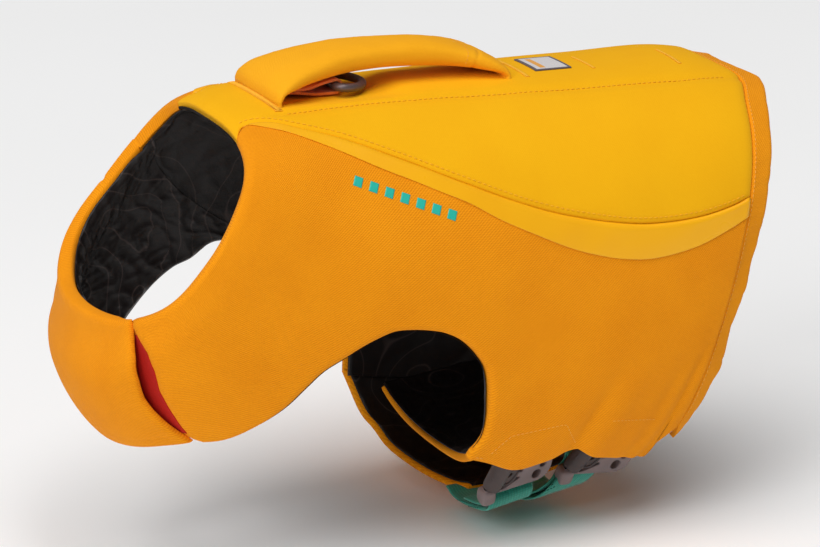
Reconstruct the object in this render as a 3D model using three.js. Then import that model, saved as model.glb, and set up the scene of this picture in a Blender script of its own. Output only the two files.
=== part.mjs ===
import * as THREE from 'three';

// Dog life jacket, worn form. Millimetres, +X to the tail, +Z up, -Y the wearer's left.
// The origin lies on the lining at the top of the back.

const GAP = 0.2;          // half of the space left between two sewn pieces
const LINING_GAP = 0.7;
const LINING = 1.0;
const SIDE_PAD = 10.0;    // foam and cloth on the sides
const CHEST_PAD = 9.0;

const YELLOW = 0xfabc22;
const ORANGE = 0xee9a1e;
const TRIM = 0xf9b61c;
const DARK = 0x2a211e;
const TEAL = 0x35998a;
const PLASTIC = 0x6f6266;
const LABEL = 0xe9e2dc;

// Rings of the worn body from the neck edge to the rear edge.
// top x, top z, bottom x, bottom z, half width, widest part, top roundness, bottom roundness, bow
const RINGS = [
  [-148, 15, -219, -78, 73, 0.55, 3.0, 2.3, 12],
  [-130, 20, -223, -110, 77, 0.52, 2.8, 2.2, 13],
  [-104, 21, -201, -146, 80, 0.50, 2.6, 2.2, 13],
  [-72, 20, -148, -178, 83, 0.50, 2.5, 2.2, 8],
  [-30, 19, -86, -196, 85, 0.50, 2.5, 2.3, 4],
  [15, 18, -25, -203, 86, 0.50, 2.5, 2.4, 0],
  [60, 17, 28, -202, 87, 0.48, 2.5, 2.5, 0],
  [105, 16, 63, -195, 86, 0.47, 2.5, 2.6, 0],
  [139, 10, 84, -186, 82, 0.46, 2.6, 2.6, 0],
];
const LAST = RINGS.length - 1;

function spline(p0, p1, p2, p3, t) {
  const out = [];
  for (let k = 0; k < p1.length; k++) {
    const a = 2 * p1[k];
    const b = -p0[k] + p2[k];
    const c = 2 * p0[k] - 5 * p1[k] + 4 * p2[k] - p3[k];
    const d = -p0[k] + 3 * p1[k] - 3 * p2[k] + p3[k];
    out.push(0.5 * (a + b * t + c * t * t + d * t * t * t));
  }
  return out;
}

function mirrorEnd(end, next) {
  return end.map((value, k) => 2 * value - next[k]);
}

// A smooth line through a table of points, with sharp corners where they are named.
function lineThrough(points, corners = []) {
  return (k) => {
    const i = Math.min(Math.max(Math.floor(k), 0), points.length - 2);
    const p1 = points[i];
    const p2 = points[i + 1];
    const p0 = i === 0 || corners.includes(i) ? mirrorEnd(p1, p2) : points[i - 1];
    const p3 = i === points.length - 2 || corners.includes(i + 1) ? mirrorEnd(p2, p1) : points[i + 2];
    return spline(p0, p1, p2, p3, k - i);
  };
}

const ringAt = lineThrough(RINGS);

// Outer surface: u counts rings from the neck, v is degrees from the spine, plus to the left side.
function body(u, v) {
  const [topX, topZ, botX, botZ, half, widest, crown, keel, bow] = ringAt(u);
  const length = Math.hypot(topX - botX, topZ - botZ);
  const ex = (topX - botX) / length;
  const ez = (topZ - botZ) / length;
  const a = v * Math.PI / 180;
  const c = Math.cos(a);
  const s = Math.sin(a);
  const reach = c >= 0 ? widest * length : (1 - widest) * length;
  const power = c >= 0 ? crown : keel;
  const sum = (Math.abs(c) / reach) ** power + (Math.abs(s) / half) ** power;
  const radius = 1 / sum ** (1 / power);
  const along = radius * c - widest * length;
  const lift = bow * s * s;
  return new THREE.Vector3(topX + ex * along + ez * lift, -radius * s, topZ + ez * along - ex * lift);
}

function outward(u, v) {
  const du = body(u + 0.01, v).sub(body(u - 0.01, v));
  const dv = body(u, v + 0.5).sub(body(u, v - 0.5));
  return du.cross(dv).normalize().negate();
}

function skin(u, v, depth) {
  return body(u, v).addScaledVector(outward(u, v), -depth);
}

function smooth(x) {
  const t = Math.min(Math.max(x, 0), 1);
  return t * t * (3 - 2 * t);
}

const SPINE_PAD = body(4.664, 0).z - 2.1;

// The foam is thickest along the spine.
function pad(v) {
  return SIDE_PAD + (SPINE_PAD - SIDE_PAD) * (1 - smooth((Math.abs(v) - 26) / 44));
}

// How far a rounded edge has dropped at a distance from it.
function drop(distance, radius, depth) {
  if (distance >= radius) return 0;
  const x = 1 - distance / radius;
  return depth * (1 - Math.sqrt(Math.max(0, 1 - x * x)));
}

function closedMesh(name, points, faces, color) {
  let volume = 0;
  for (const [a, b, c] of faces) volume += points[a].dot(points[b].clone().cross(points[c]));
  const index = [];
  for (const [a, b, c] of faces) index.push(...(volume > 0 ? [a, b, c] : [a, c, b]));
  const geometry = new THREE.BufferGeometry();
  geometry.setAttribute('position', new THREE.Float32BufferAttribute(points.flatMap((p) => [p.x, p.y, p.z]), 3));
  geometry.setIndex(index);
  geometry.computeVertexNormals();
  const mesh = new THREE.Mesh(geometry, new THREE.MeshStandardMaterial({ color }));
  mesh.name = name;
  return mesh;
}

// A closed slab between two grids of points.
function slab(name, upper, lower, color) {
  const rows = upper.length;
  const cols = upper[0].length;
  const points = [...upper.flat(), ...lower.flat()];
  const faces = [];
  const at = (side, i, j) => side * rows * cols + i * cols + j;
  const quad = (a, b, c, d) => faces.push([a, b, c], [a, c, d]);
  for (let i = 0; i < rows - 1; i++) {
    for (let j = 0; j < cols - 1; j++) {
      quad(at(0, i, j), at(0, i, j + 1), at(0, i + 1, j + 1), at(0, i + 1, j));
      quad(at(1, i, j), at(1, i + 1, j), at(1, i + 1, j + 1), at(1, i, j + 1));
    }
  }
  for (let i = 0; i < rows - 1; i++) {
    quad(at(0, i, 0), at(0, i + 1, 0), at(1, i + 1, 0), at(1, i, 0));
    quad(at(0, i + 1, cols - 1), at(0, i, cols - 1), at(1, i, cols - 1), at(1, i + 1, cols - 1));
  }
  for (let j = 0; j < cols - 1; j++) {
    quad(at(0, 0, j + 1), at(0, 0, j), at(1, 0, j), at(1, 0, j + 1));
    quad(at(0, rows - 1, j), at(0, rows - 1, j + 1), at(1, rows - 1, j + 1), at(1, rows - 1, j));
  }
  return closedMesh(name, points, faces, color);
}

// A tube of equal sections, closed at both ends or joined round.
function loft(name, sections, color, joined = false) {
  const count = sections[0].length;
  const points = sections.flat();
  const faces = [];
  const last = joined ? sections.length : sections.length - 1;
  for (let i = 0; i < last; i++) {
    const a = i * count;
    const b = ((i + 1) % sections.length) * count;
    for (let j = 0; j < count; j++) {
      const k = (j + 1) % count;
      faces.push([a + j, b + j, b + k], [a + j, b + k, a + k]);
    }
  }
  if (!joined) {
    const end = (sections.length - 1) * count;
    for (let j = 0; j < count / 2 - 1; j++) {
      const far = count - 1 - j;
      faces.push([j, j + 1, far - 1], [j, far - 1, far]);
      faces.push([end + j, end + far - 1, end + j + 1], [end + j, end + far, end + far - 1]);
    }
  }
  return closedMesh(name, points, faces, color);
}

// Places along a line of the patch at set distances from both ends, in millimetres.
function stops(from, to, edge, count) {
  const steps = 24;
  const lengths = [0];
  let before = body(...from);
  for (let k = 1; k <= steps; k++) {
    const f = k / steps;
    const here = body(from[0] + (to[0] - from[0]) * f, from[1] + (to[1] - from[1]) * f);
    lengths.push(lengths[k - 1] + here.distanceTo(before));
    before = here;
  }
  const total = lengths[steps];
  const wanted = edge.map((d) => d);
  const inner = edge[edge.length - 1];
  for (let k = 1; k <= count; k++) wanted.push(inner + (total - 2 * inner) * k / (count + 1));
  for (let k = edge.length - 1; k >= 0; k--) wanted.push(total - edge[k]);
  return wanted.map((d) => {
    let k = 1;
    while (k < steps && lengths[k] < d) k++;
    const f = (k - 1 + (d - lengths[k - 1]) / (lengths[k] - lengths[k - 1])) / steps;
    return { u: from[0] + (to[0] - from[0]) * f, v: from[1] + (to[1] - from[1]) * f, start: d, end: total - d, f };
  });
}

const EDGE_LINES = [GAP, 1.8, 4.8];

// Back seam: ring number and angle.
const SEAM = [
  [0, 32], [0.35, 25.5], [0.9, 24.6], [1.6, 27.6], [2.4, 31.2], [3.1, 36], [3.8, 42.8],
  [4.5, 49.6], [5.2, 56], [5.9, 62.3], [6.6, 64.8], [7.15, 64], [7.53, 62],
];
const REAR_SEAM = [[7.53, 62], [7.51, 76], [7.5, 90], [7.45, 105], [7.4, 118], [7.34, 129], [7.28, 138]];
const BACK_REAR_U = 7.6;

// Left side: chest edge and arm hole against neck edge, back seam and rear seam.
const LEFT_INNER = [
  [1.78, 168], [1.88, 160], [2.02, 151], [2.14, 143.5], [2.35, 137], [2.5, 128], [2.62, 118.5], [2.7, 110],
  [2.79, 103], [2.95, 97.5], [3.1, 93], [3.25, 89.6], [3.36, 88], [3.45, 87.4], [3.54, 87.2], [3.65, 87.2],
  [3.78, 87.7], [3.9, 88.7], [4.05, 91], [4.18, 94], [4.3, 98], [4.38, 101.5], [4.45, 106.7], [4.5, 112],
  [4.54, 117], [4.57, 121.5], [4.58, 125], [4.57, 128], [4.56, 130], [4.55, 132],
];
const LEFT_OUTER = [
  [0.5, 163], [0.3, 152], [0.06, 141], [-0.13, 131], [-0.13, 121], [-0.1, 108], [-0.05, 94], [0, 80],
  [0, 66], [0, 52], [0, 40], ...SEAM, ...REAR_SEAM.slice(1),
];
const LEFT_CORNERS = [3, 11, 23];
const HEM = [
  [0, 4.55, 132], [0.08, 4.77, 134.2], [0.17, 5.06, 137.6], [0.27, 5.38, 136.4], [0.38, 5.68, 134.1],
  [0.48, 5.93, 138.6], [0.58, 6.25, 142], [0.7, 6.6, 145.5], [0.82, 6.9, 148.5], [0.88, 6.95, 142], [1, 7.28, 138],
];

// Right side: its front end is the seam to the chest wrap.
const RIGHT_INNER = [
  [2.83, 87], [2.92, 86.6], [3.0, 86.4], [3.1, 86.4], [3.22, 86.5], [3.36, 86.6], [3.45, 86.7], [3.54, 86.9], [3.65, 87.2],
  [3.78, 87.7], [3.9, 88.7], [4.05, 91], [4.18, 94], [4.3, 98], [4.38, 101.5], [4.43, 106.7], [4.45, 112],
  [4.47, 117], [4.49, 121.5], [4.5, 125], [4.5, 128], [4.5, 130], [4.5, 132],
];
const RIGHT_OUTER = [[0, 64], [0, 55], [0, 47], [0, 40], ...SEAM, ...REAR_SEAM.slice(1, 6), [7.32, 132]];
const RIGHT_CORNERS = [4, 16];

// Lower edge of the chest wrap against the neck edge, from the right seam round to the left lip.
const CHEST_INNER = [
  [2.83, -87], [2.63, -90], [2.48, -96.5], [2.3, -101.5], [2.16, -109], [2.07, -118], [2.0, -128], [1.96, -140],
  [1.94, -155], [1.94, -170], [1.95, -185], [1.98, -197], [2.05, -208], [2.17, -216],
];
const CHEST_OUTER = [
  [0, -64], [-0.1, -73], [-0.18, -83], [-0.24, -93], [-0.28, -104], [-0.3, -116], [-0.28, -128], [-0.24, -141],
  [-0.2, -155], [-0.17, -170], [-0.15, -185], [-0.15, -200], [-0.15, -215], [-0.14, -229],
];
const LIP = [[0, 131], [0.27, 132.4], [0.58, 133.4], [1.03, 136.8], [1.35, 140.7], [1.57, 141.9], [1.85, 143], [2.17, 144]];

function lipAngle(u) {
  for (let k = 1; k < LIP.length; k++) {
    if (u <= LIP[k][0] || k === LIP.length - 1) {
      const f = (u - LIP[k - 1][0]) / (LIP[k][0] - LIP[k - 1][0]);
      return LIP[k - 1][1] + (LIP[k][1] - LIP[k - 1][1]) * Math.min(Math.max(f, 0), 1);
    }
  }
  return LIP[0][1];
}

// Column numbers of a patch with close lines at both ends.
function columnStops(first, last, extra, firstEdge, lastEdge) {
  const list = [];
  for (const d of firstEdge) list.push(first + d);
  for (let k = Math.ceil(first + firstEdge[firstEdge.length - 1] + 0.3); k <= last - lastEdge[lastEdge.length - 1] - 0.3; k++) {
    list.push(k);
    for (const d of extra[k] ?? []) list.push(k + d);
  }
  for (const d of [...lastEdge].reverse()) list.push(last - d);
  return list;
}

// A panel from two edge lines: a grid of places, each with its distance from the four edges.
function panelGrid(inner, outer, corners, columns, lines, sign, bend) {
  const innerLine = lineThrough(inner);
  const outerLine = lineThrough(outer, corners);
  const grid = columns.map((k) => {
    const from = innerLine(k);
    const to = outerLine(k);
    return stops([from[0], from[1] * sign], [to[0], to[1] * sign], EDGE_LINES, lines).map((p) => ({ ...p, k }));
  });
  if (bend) grid.forEach((row, i) => row.forEach((p) => bend(p, columns[i])));
  const lengths = grid[0].map(() => 0);
  for (let i = 0; i < grid.length; i++) {
    for (let j = 0; j < grid[i].length; j++) {
      if (i > 0) lengths[j] += body(grid[i][j].u, grid[i][j].v).distanceTo(body(grid[i - 1][j].u, grid[i - 1][j].v));
      grid[i][j].first = lengths[j];
    }
  }
  for (const row of grid) row.forEach((p, j) => { p.last = lengths[j] - p.first; });
  return grid;
}

function panel(name, grid, upperDepth, lowerDepth, color) {
  const upper = grid.map((row) => row.map((p) => skin(p.u, p.v, upperDepth(p))));
  const lower = grid.map((row) => row.map((p) => skin(p.u, p.v, lowerDepth(p))));
  return slab(name, upper, lower, color);
}

// The lining keeps some lines of its panel, and is let in where the panel bends between them.
function lining(name, grid, lowerDepth, keepRows, keepCols, gap = LINING_GAP) {
  const depth = keepRows.map((i) => keepCols.map((j) => lowerDepth(grid[i][j]) + gap));
  for (let pass = 0; pass < 3; pass++) {
    for (let a = 0; a < keepRows.length - 1; a++) {
      for (let b = 0; b < keepCols.length - 1; b++) {
        const corners = [[a, b], [a + 1, b], [a, b + 1], [a + 1, b + 1]];
        const ends = corners.map(([x, y]) => {
          const p = grid[keepRows[x]][keepCols[y]];
          return skin(p.u, p.v, depth[x][y]);
        });
        let worst = 0;
        for (let i = keepRows[a]; i <= keepRows[a + 1]; i++) {
          for (let j = keepCols[b]; j <= keepCols[b + 1]; j++) {
            const fi = (i - keepRows[a]) / (keepRows[a + 1] - keepRows[a]);
            const fj = (j - keepCols[b]) / (keepCols[b + 1] - keepCols[b]);
            const flat = ends[0].clone().multiplyScalar((1 - fi) * (1 - fj))
              .addScaledVector(ends[1], fi * (1 - fj))
              .addScaledVector(ends[2], (1 - fi) * fj)
              .addScaledVector(ends[3], fi * fj);
            const p = grid[i][j];
            const wanted = skin(p.u, p.v, lowerDepth(p) + gap);
            worst = Math.max(worst, flat.sub(wanted).dot(outward(p.u, p.v)));
          }
        }
        for (const [x, y] of corners) depth[x][y] += worst * 0.8;
      }
    }
  }
  const line = (extra) => keepRows.map((i, x) => keepCols.map((j, y) => {
    const p = grid[i][j];
    return skin(p.u, p.v, depth[x][y] + extra);
  }));
  return slab(name, line(0), line(LINING), DARK);
}

function everySecond(count, first, last) {
  const list = [];
  for (let k = first; k < last; k += 2) list.push(k);
  list.push(last);
  return list.filter((k) => k < count);
}

const jacket = new THREE.Group();
jacket.name = 'dog_life_jacket';

// Left side panel with its tongue and hem.
const leftColumns = columnStops(0, 29, { 11: [0.12, 0.35], 22: [0.65] }, [0.02, 0.2], [0.02, 0.3, 0.8]);
const hemLine = lineThrough(HEM, [4, 8]);

function hemAt(f) {
  let k = 1;
  while (k < HEM.length - 1 && HEM[k][0] < f) k++;
  return hemLine(k - 1 + (f - HEM[k - 1][0]) / (HEM[k][0] - HEM[k - 1][0]));
}

function straightHem(f) {
  return [4.55 + (7.28 - 4.55) * f, 132 + (138 - 132) * f];
}

const leftGrid = panelGrid(LEFT_INNER, LEFT_OUTER, LEFT_CORNERS, leftColumns, 8, 1, (p, k) => {
  const w = smooth((k - 23) / 6);
  if (w > 0) {
    const to = hemAt(p.f);
    const from = straightHem(p.f);
    p.u += w * (to[1] - from[0]);
    p.v += w * (to[2] - from[1]);
  }
});

function tongue(p) {
  return smooth((p.v - lipAngle(p.u) + 13) / 15) * smooth((3.0 - p.u) / 0.6);
}

function hemThin(p) {
  return smooth((p.v - 112) / 20) * smooth((p.u - 4.2) / 0.5);
}

function leftUpper(p) {
  const inTongue = tongue(p);
  const middle = Math.sin(Math.PI * Math.min(Math.max(p.u / 2.1, 0), 1));
  const seam = p.u > 0.05 ? drop(p.end, 8, 2.6) : 0;
  const neck = p.u <= 0.05 || p.k < 11 ? drop(p.end, 6, 4.2) : 0;
  const edge = Math.max(drop(p.start, 6, 4.2 * (1 - 0.6 * hemThin(p))), p.k < 11 ? neck : seam);
  return inTongue * (CHEST_PAD + 0.7 + 1.6 * middle) + Math.max(edge * (1 - 0.7 * inTongue), drop(p.last, 4, 0.6));
}

function leftLower(p) {
  const inTongue = tongue(p);
  const thick = pad(p.v) * (1 - inTongue) + 4 * inTongue;
  const thin = thick * (1 - hemThin(p)) + 3.2 * hemThin(p);
  const base = inTongue * (CHEST_PAD + 2.3) + thin;
  const edge = Math.max(drop(p.start, 5, 2.6), p.k < 11 ? drop(p.end, 5, 2.6) : 0);
  return base - edge * (1 - 0.8 * Math.max(inTongue, hemThin(p)));
}

jacket.add(panel('side_left', leftGrid, leftUpper, leftLower, ORANGE));

const LINING_ROWS = everySecond(leftGrid.length, 1, leftGrid.length - 3);
const LINING_COLS = [1, 3, 5, 7, 9, leftGrid[0].length - 2];
jacket.add(lining('lining_left', leftGrid, leftLower, LINING_ROWS, LINING_COLS));

// Right side panel: it is sewn to the chest wrap and runs on below as the outer belly flap.
const rightColumns = columnStops(0, 22, { 4: [0.12, 0.35], 15: [0.65] }, [0.05, 0.2, 0.55], [0.02, 0.3, 0.8]);
const rightGrid = panelGrid(RIGHT_INNER, RIGHT_OUTER, RIGHT_CORNERS, rightColumns, 8, -1, null);

function rightUpper(p) {
  const neck = p.k < 4 ? drop(p.end, 6, 4.2) : drop(p.end, 8, 2.6);
  return Math.max(neck, drop(p.start, 6, 4.2), drop(p.first, 7, 2.0), drop(p.last, 6, 1.5));
}

function rightLower(p) {
  const thin = smooth((-p.v - 108) / 22);
  const thick = pad(p.v) * (1 - thin) + 6 * thin;
  return thick - Math.max(drop(p.start, 5, 2.6 * (1 - 0.5 * thin)), p.k < 4 ? drop(p.end, 5, 2.6) : 0);
}

jacket.add(panel('side_right', rightGrid, rightUpper, rightLower, ORANGE));
jacket.add(lining('lining_right', rightGrid, rightLower, everySecond(rightGrid.length, 1, rightGrid.length - 2), LINING_COLS));

// Back panel: rows follow the places of the back seam.
const seamLine = lineThrough(SEAM);
const backRows = [0.02, 0.12, 0.35, 1, 2, 3, 4, 5, 6, 7, 8, 9, 10, 11, 11.65, 11.98];
const SPINE_CHANNEL = 18.5;
const HOLLOW = 3.5;
const HOLLOW_X = -84;

function backRowU(k, side) {
  const seam = seamLine(k);
  const blend = smooth(side);
  const rear = BACK_REAR_U * (k / 12);
  return { u: seam[0], v: seam[1], rear, blend };
}

function backGrid() {
  const grid = backRows.map((k) => {
    const [u, v] = seamLine(k);
    const edge = body(u, v);
    const inset = (d) => {
      const step = edge.distanceTo(body(u, v - 1));
      return v - d / step;
    };
    const half = [inset(GAP), inset(1.8), inset(4.8), Math.max(SPINE_CHANNEL + 3, (inset(4.8) + SPINE_CHANNEL) / 2)];
    if (inset(4.8) < SPINE_CHANNEL + 5) half[3] = SPINE_CHANNEL + (inset(4.8) - SPINE_CHANNEL) * 0.5;
    const spine = Math.min(SPINE_CHANNEL, half[2] - 1.2);
    const list = [...half, spine + (half[2] > SPINE_CHANNEL + 2 ? 0 : 0), spine - 4.5, spine * 0.4];
    const angles = [...list, 0, ...[...list].reverse().map((x) => -x)];
    return angles.map((angle) => {
      const side = Math.min(Math.abs(angle) / v, 1);
      const centre = BACK_REAR_U * (k / 12) ** 0.92;
      const here = u * side ** 2 + centre * (1 - side ** 2);
      return { u: here, v: angle, k };
    });
  });
  for (const row of grid) {
    let run = 0;
    const runs = row.map((p, j) => {
      if (j > 0) run += body(p.u, p.v).distanceTo(body(row[j - 1].u, row[j - 1].v));
      return run;
    });
    row.forEach((p, j) => { p.start = runs[j]; p.end = run - runs[j]; });
  }
  grid[0].forEach((_, j) => {
    let run = 0;
    const runs = grid.map((row, i) => {
      if (i > 0) run += body(row[j].u, row[j].v).distanceTo(body(grid[i - 1][j].u, grid[i - 1][j].v));
      return run;
    });
    grid.forEach((row, i) => { row[j].first = runs[i]; row[j].last = run - runs[i]; });
  });
  return grid;
}

const back = backGrid();

// The leash ring and its loop have pressed a hollow in the foam under the handle.
function hollowAt(x, y) {
  return HOLLOW * Math.exp(-(((x - HOLLOW_X) / 31) ** 6) - ((y / 25) ** 6));
}

function backUpper(p) {
  const place = body(p.u, p.v);
  const channel = 1.6 * Math.exp(-(((Math.abs(p.v) - SPINE_CHANNEL) / 2.2) ** 2)) * smooth((p.u - 0.9) / 0.5);
  return Math.max(drop(p.start, 8, 2.6), drop(p.end, 8, 2.6), drop(p.first, 7, 5.0), drop(p.last, 8, 3.2)) + channel + hollowAt(place.x, place.y);
}

function backLower(p) {
  return pad(p.v) - drop(p.first, 5, 3.5);
}

jacket.add(panel('back_panel', back, backUpper, backLower, YELLOW));
jacket.add(lining('lining_back', back, backLower, [1, 3, 4, 6, 8, 10, 12, 14], [1, 3, 5, 7, 9, 11, 13], 1.0));

// Chest wrap, from the seam on the right round the front to the open lip on the left.
const chestColumns = columnStops(0, 13, {}, [0.05, 0.2, 0.55], [0.02, 0.2, 0.5]);
const chestGrid = panelGrid(CHEST_INNER, CHEST_OUTER, [], chestColumns, 5, 1, (p, k) => {
  const w = smooth((k - 10) / 3);
  p.v += w * (-360 + lipAngle(p.u) - (-229 + 13 * p.u / 2.17));
});

function chestUpper(p) {
  return Math.max(drop(p.end, 6, 3.6), drop(p.start, 6, 3.6), drop(p.first, 7, 2.0), drop(p.last, 8, 1.6));
}

function chestLower(p) {
  const lip = 4.2 * (1 - smooth(p.last / 16));
  return CHEST_PAD - lip - Math.max(drop(p.end, 5, 2.2), drop(p.start, 5, 2.2)) * (1 - smooth(1 - p.last / 16));
}

jacket.add(panel('chest_wrap', chestGrid, chestUpper, chestLower, ORANGE));
const chestEnd = chestColumns.findIndex((k) => k > 9.5);
jacket.add(lining('lining_chest', chestGrid, chestLower, everySecond(chestEnd, 1, chestEnd - 1), [1, 3, 5, 7, 9]));

// Edge band along the rear of the back and both sides.
const rearSide = REAR_SEAM.slice(1);
const bandNodes = [
  ...[...rearSide].reverse().map(([u, v]) => [u, -v]),
  ...[...back[back.length - 1]].reverse().map((p) => [p.u + 0.008, p.v]),
  ...rearSide,
];

function bandGrid() {
  return bandNodes.map(([u, v]) => {
    const width = body(u, v).distanceTo(body(8, v));
    return [0.45, 2.5, width * 0.55, width - 1.4, width].map((d) => ({ u: u + (8 - u) * d / width, v, d, width }));
  });
}

function bandUpper(p) {
  return 3.0 + 0.8 * (p.d / p.width) + drop(p.width - p.d, 3, 1.6);
}

function bandLower(p) {
  const seam = pad(p.v) * 0.92;
  const f = smooth(p.d / p.width);
  return seam * (1 - f) + 8.6 * f - drop(p.width - p.d, 2, 1.0);
}

const bandLines = bandGrid();
const bandEnds = (fn) => bandLines.map((row) => row.map((p) => {
  const thin = smooth((Math.abs(p.v) - 105) / 25);
  const top = bandUpper(p) * (1 - 0.75 * thin);
  return skin(p.u, p.v, fn === 'upper' ? top : bandLower(p) * (1 - thin) + (top + 2.6) * thin);
}));
jacket.add(slab('rear_band', bandEnds('upper'), bandEnds('lower'), ORANGE));

// Right belly flap: it carries on from the right side under the belly, outside the left one.
const FAR_FRONT = [
  [-132.25, 4.5], [-137, 4.57], [-145, 4.67], [-150, 4.77], [-156, 4.85], [-164, 5.0], [-172, 5.13], [-178, 5.22], [-181.5, 5.32],
];
const farFront = lineThrough(FAR_FRONT);
const farRows = [0, 0.12, 0.4, 1, 2, 3, 4, 5, 6, 7, 7.6, 8];
const farGrid = farRows.map((k) => {
  const [v, front] = farFront(k);
  const rear = 7.28 - 0.5 * smooth((-v - 133) / 32);
  const row = stops([front, v], [rear, v], [0, 1.5, 4.5], 3);
  return row.map((p) => ({ ...p, k }));
});
for (const row of farGrid) {
  row.forEach((p, j) => { p.last = body(p.u, p.v).distanceTo(body(farGrid[farGrid.length - 1][j].u, farGrid[farGrid.length - 1][j].v)); });
}
const farUpper = (p) => Math.max(drop(p.start, 4, 1.6), drop(p.end, 4, 1.6), drop(p.last, 4, 1.4), p.k < 0.3 ? 0.8 : 0);
const farLower = (p) => 5.2 - 1.4 * smooth(p.k / 6) - Math.max(drop(p.start, 4, 1.2), drop(p.end, 4, 1.2), drop(p.last, 4, 1.0));
jacket.add(panel('belly_flap_right', farGrid, farUpper, farLower, ORANGE));
jacket.add(lining('lining_flap_right', farGrid, farLower, [1, 3, 5, 7, 9, 10], [1, 3, 5, 7]));

// Left belly flap: it hangs slack across the belly from the left side to the right.
const FLAP_FRONT = [
  [-35, -65.5, -160.5], [-35, -61, -162.5], [-34.5, -50, -166.3], [-33, -33, -169], [-32, -10, -170], [-31, 12, -170],
  [-30, 28, -169.2], [-29, 45, -166.4], [-28, 58, -163],
];
const FLAP_MIDDLE = [
  [-24, -70.0, -140], [-24, -57.5, -152], [-24, -49, -161.5], [-24, -35, -167.8], [-24, -12, -170], [-24, 12, -170],
  [-24, 30, -168.8], [-24, 46, -165.8], [-24, 57.5, -162.4],
];
const FLAP_REAR = [
  [70, -70.8, -134], [70, -55, -143.8], [70, -48, -153], [70, -34, -158.5], [70, -12, -161], [70, 12, -161],
  [70, 30, -159.5], [70, 46, -156], [70, 56, -153],
];
const flapRows = [0, 1, 2, 3, 4, 5, 6, 7, 8];

function flapPoint(k, f) {
  const a = new THREE.Vector3(...FLAP_FRONT[k]);
  const b = new THREE.Vector3(...FLAP_MIDDLE[k]);
  const c = new THREE.Vector3(...FLAP_REAR[k]);
  return f < 0.1 ? a.lerp(b, f / 0.1) : b.lerp(c, (f - 0.1) / 0.9);
}

const flapStops = [0, 0.02, 0.05, 0.1, 0.35, 0.65, 0.96, 1];

function flapNormal(k) {
  const before = new THREE.Vector3(...FLAP_MIDDLE[Math.max(k - 1, 0)]);
  const after = new THREE.Vector3(...FLAP_MIDDLE[Math.min(k + 1, 8)]);
  const run = after.sub(before);
  return new THREE.Vector3(0, run.z, -run.y).normalize();
}

function flapLayer(top, bottom) {
  const level = (depth, edge) => flapRows.map((k) => flapStops.map((f) => {
    const ends = Math.min(f, 1 - f) * 100;
    const round = edge * (ends < 1 ? 1 : ends < 3 ? 0.35 : 0);
    return flapPoint(k, f).addScaledVector(flapNormal(k), depth + round);
  }));
  return [level(top, 1), level(bottom, -1)];
}

jacket.add(slab('belly_flap_left', ...flapLayer(-1.9, 1.9), ORANGE));
const liningLevel = (depth) => flapRows.map((k) => [0.02, 0.05, 0.1, 0.35, 0.65, 0.96].map((f) => flapPoint(k, f).addScaledVector(flapNormal(k), depth)));
jacket.add(slab('lining_flap_left', liningLevel(-2.8), liningLevel(-3.8), DARK));

// Glossy trim on each side, just below the back seam.
const TRIM_EDGE = [
  [0.2, 24], [0.81, 27.8], [1.4, 30.6], [2.09, 34.3], [2.6, 37.5], [3.2, 41.9], [3.58, 45.5], [3.95, 49.3], [4.3, 53.9],
  [4.78, 59.6], [5.38, 67.4], [5.77, 71.7], [6.15, 73.8], [6.67, 73.5], [7.19, 70.4], [7.6, 67.2],
];

function trimAngle(u) {
  let k = 1;
  while (k < TRIM_EDGE.length - 1 && TRIM_EDGE[k][0] < u) k++;
  const f = (u - TRIM_EDGE[k - 1][0]) / (TRIM_EDGE[k][0] - TRIM_EDGE[k - 1][0]);
  return TRIM_EDGE[k - 1][1] + (TRIM_EDGE[k][1] - TRIM_EDGE[k - 1][1]) * f;
}

function trim(name, inner, outer, corners, first, sign) {
  const innerLine = lineThrough(inner);
  const outerLine = lineThrough(outer, corners);
  const rows = [first + 2, first + 3, first + 4, first + 5, first + 6, first + 7, first + 8, first + 9, first + 10, first + 11, first + 11.65];
  const grid = rows.map((k) => {
    const from = outerLine(k);
    const to = innerLine(k);
    let width = 0;
    let before = body(...from);
    const trail = [{ d: 0, u: from[0], v: from[1] }];
    for (let f = 0.005; f < 0.6; f += 0.005) {
      const u = from[0] + (to[0] - from[0]) * f;
      const v = from[1] + (to[1] - from[1]) * f;
      const here = body(u, v);
      width += here.distanceTo(before);
      before = here;
      trail.push({ d: width, u, v });
      if (v > trimAngle(u) && width > 5.6) break;
    }
    return [1.8, 4.8, 4.8 + (width - 4.8) / 2, width].map((d) => {
      const q = trail.find((p) => p.d >= d) ?? trail[trail.length - 1];
      return { u: q.u, v: q.v * sign, end: q.d };
    });
  });
  return panel(name, grid, (p) => drop(p.end, 8, 2.6) - 1.1, (p) => drop(p.end, 8, 2.6) - 0.55, TRIM);
}

jacket.add(trim('trim_left', LEFT_INNER, LEFT_OUTER, LEFT_CORNERS, 11, 1));
jacket.add(trim('trim_right', RIGHT_INNER, RIGHT_OUTER, RIGHT_CORNERS, 4, -1));

// Place on the outer surface above a point of the plan.
function placeAbove(x, y) {
  let u = 4.7 + x / 45;
  let v = -y * 0.6;
  for (let k = 0; k < 12; k++) {
    const p = body(u, v);
    const a = body(u + 0.01, v).sub(p).multiplyScalar(100);
    const b = body(u, v + 0.1).sub(p).multiplyScalar(10);
    const det = a.x * b.y - a.y * b.x;
    const dx = x - p.x;
    const dy = y - p.y;
    u += (dx * b.y - dy * b.x) / det;
    v += (a.x * dy - a.y * dx) / det;
  }
  return [u, v];
}

function topAt(x, y) {
  return body(...placeAbove(x, y)).z;
}

// Woven label across the spine.
function patchOnTop(name, x0, x1, y0, y1, lift, thick, color) {
  const level = (up) => [0, 0.5, 1].map((a) => [0, 0.25, 0.5, 0.75, 1].map((b) => {
    const [u, v] = placeAbove(x0 + (x1 - x0) * a, y0 + (y1 - y0) * b);
    return skin(u, v, -up);
  }));
  return slab(name, level(lift + thick), level(lift), color);
}

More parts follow.
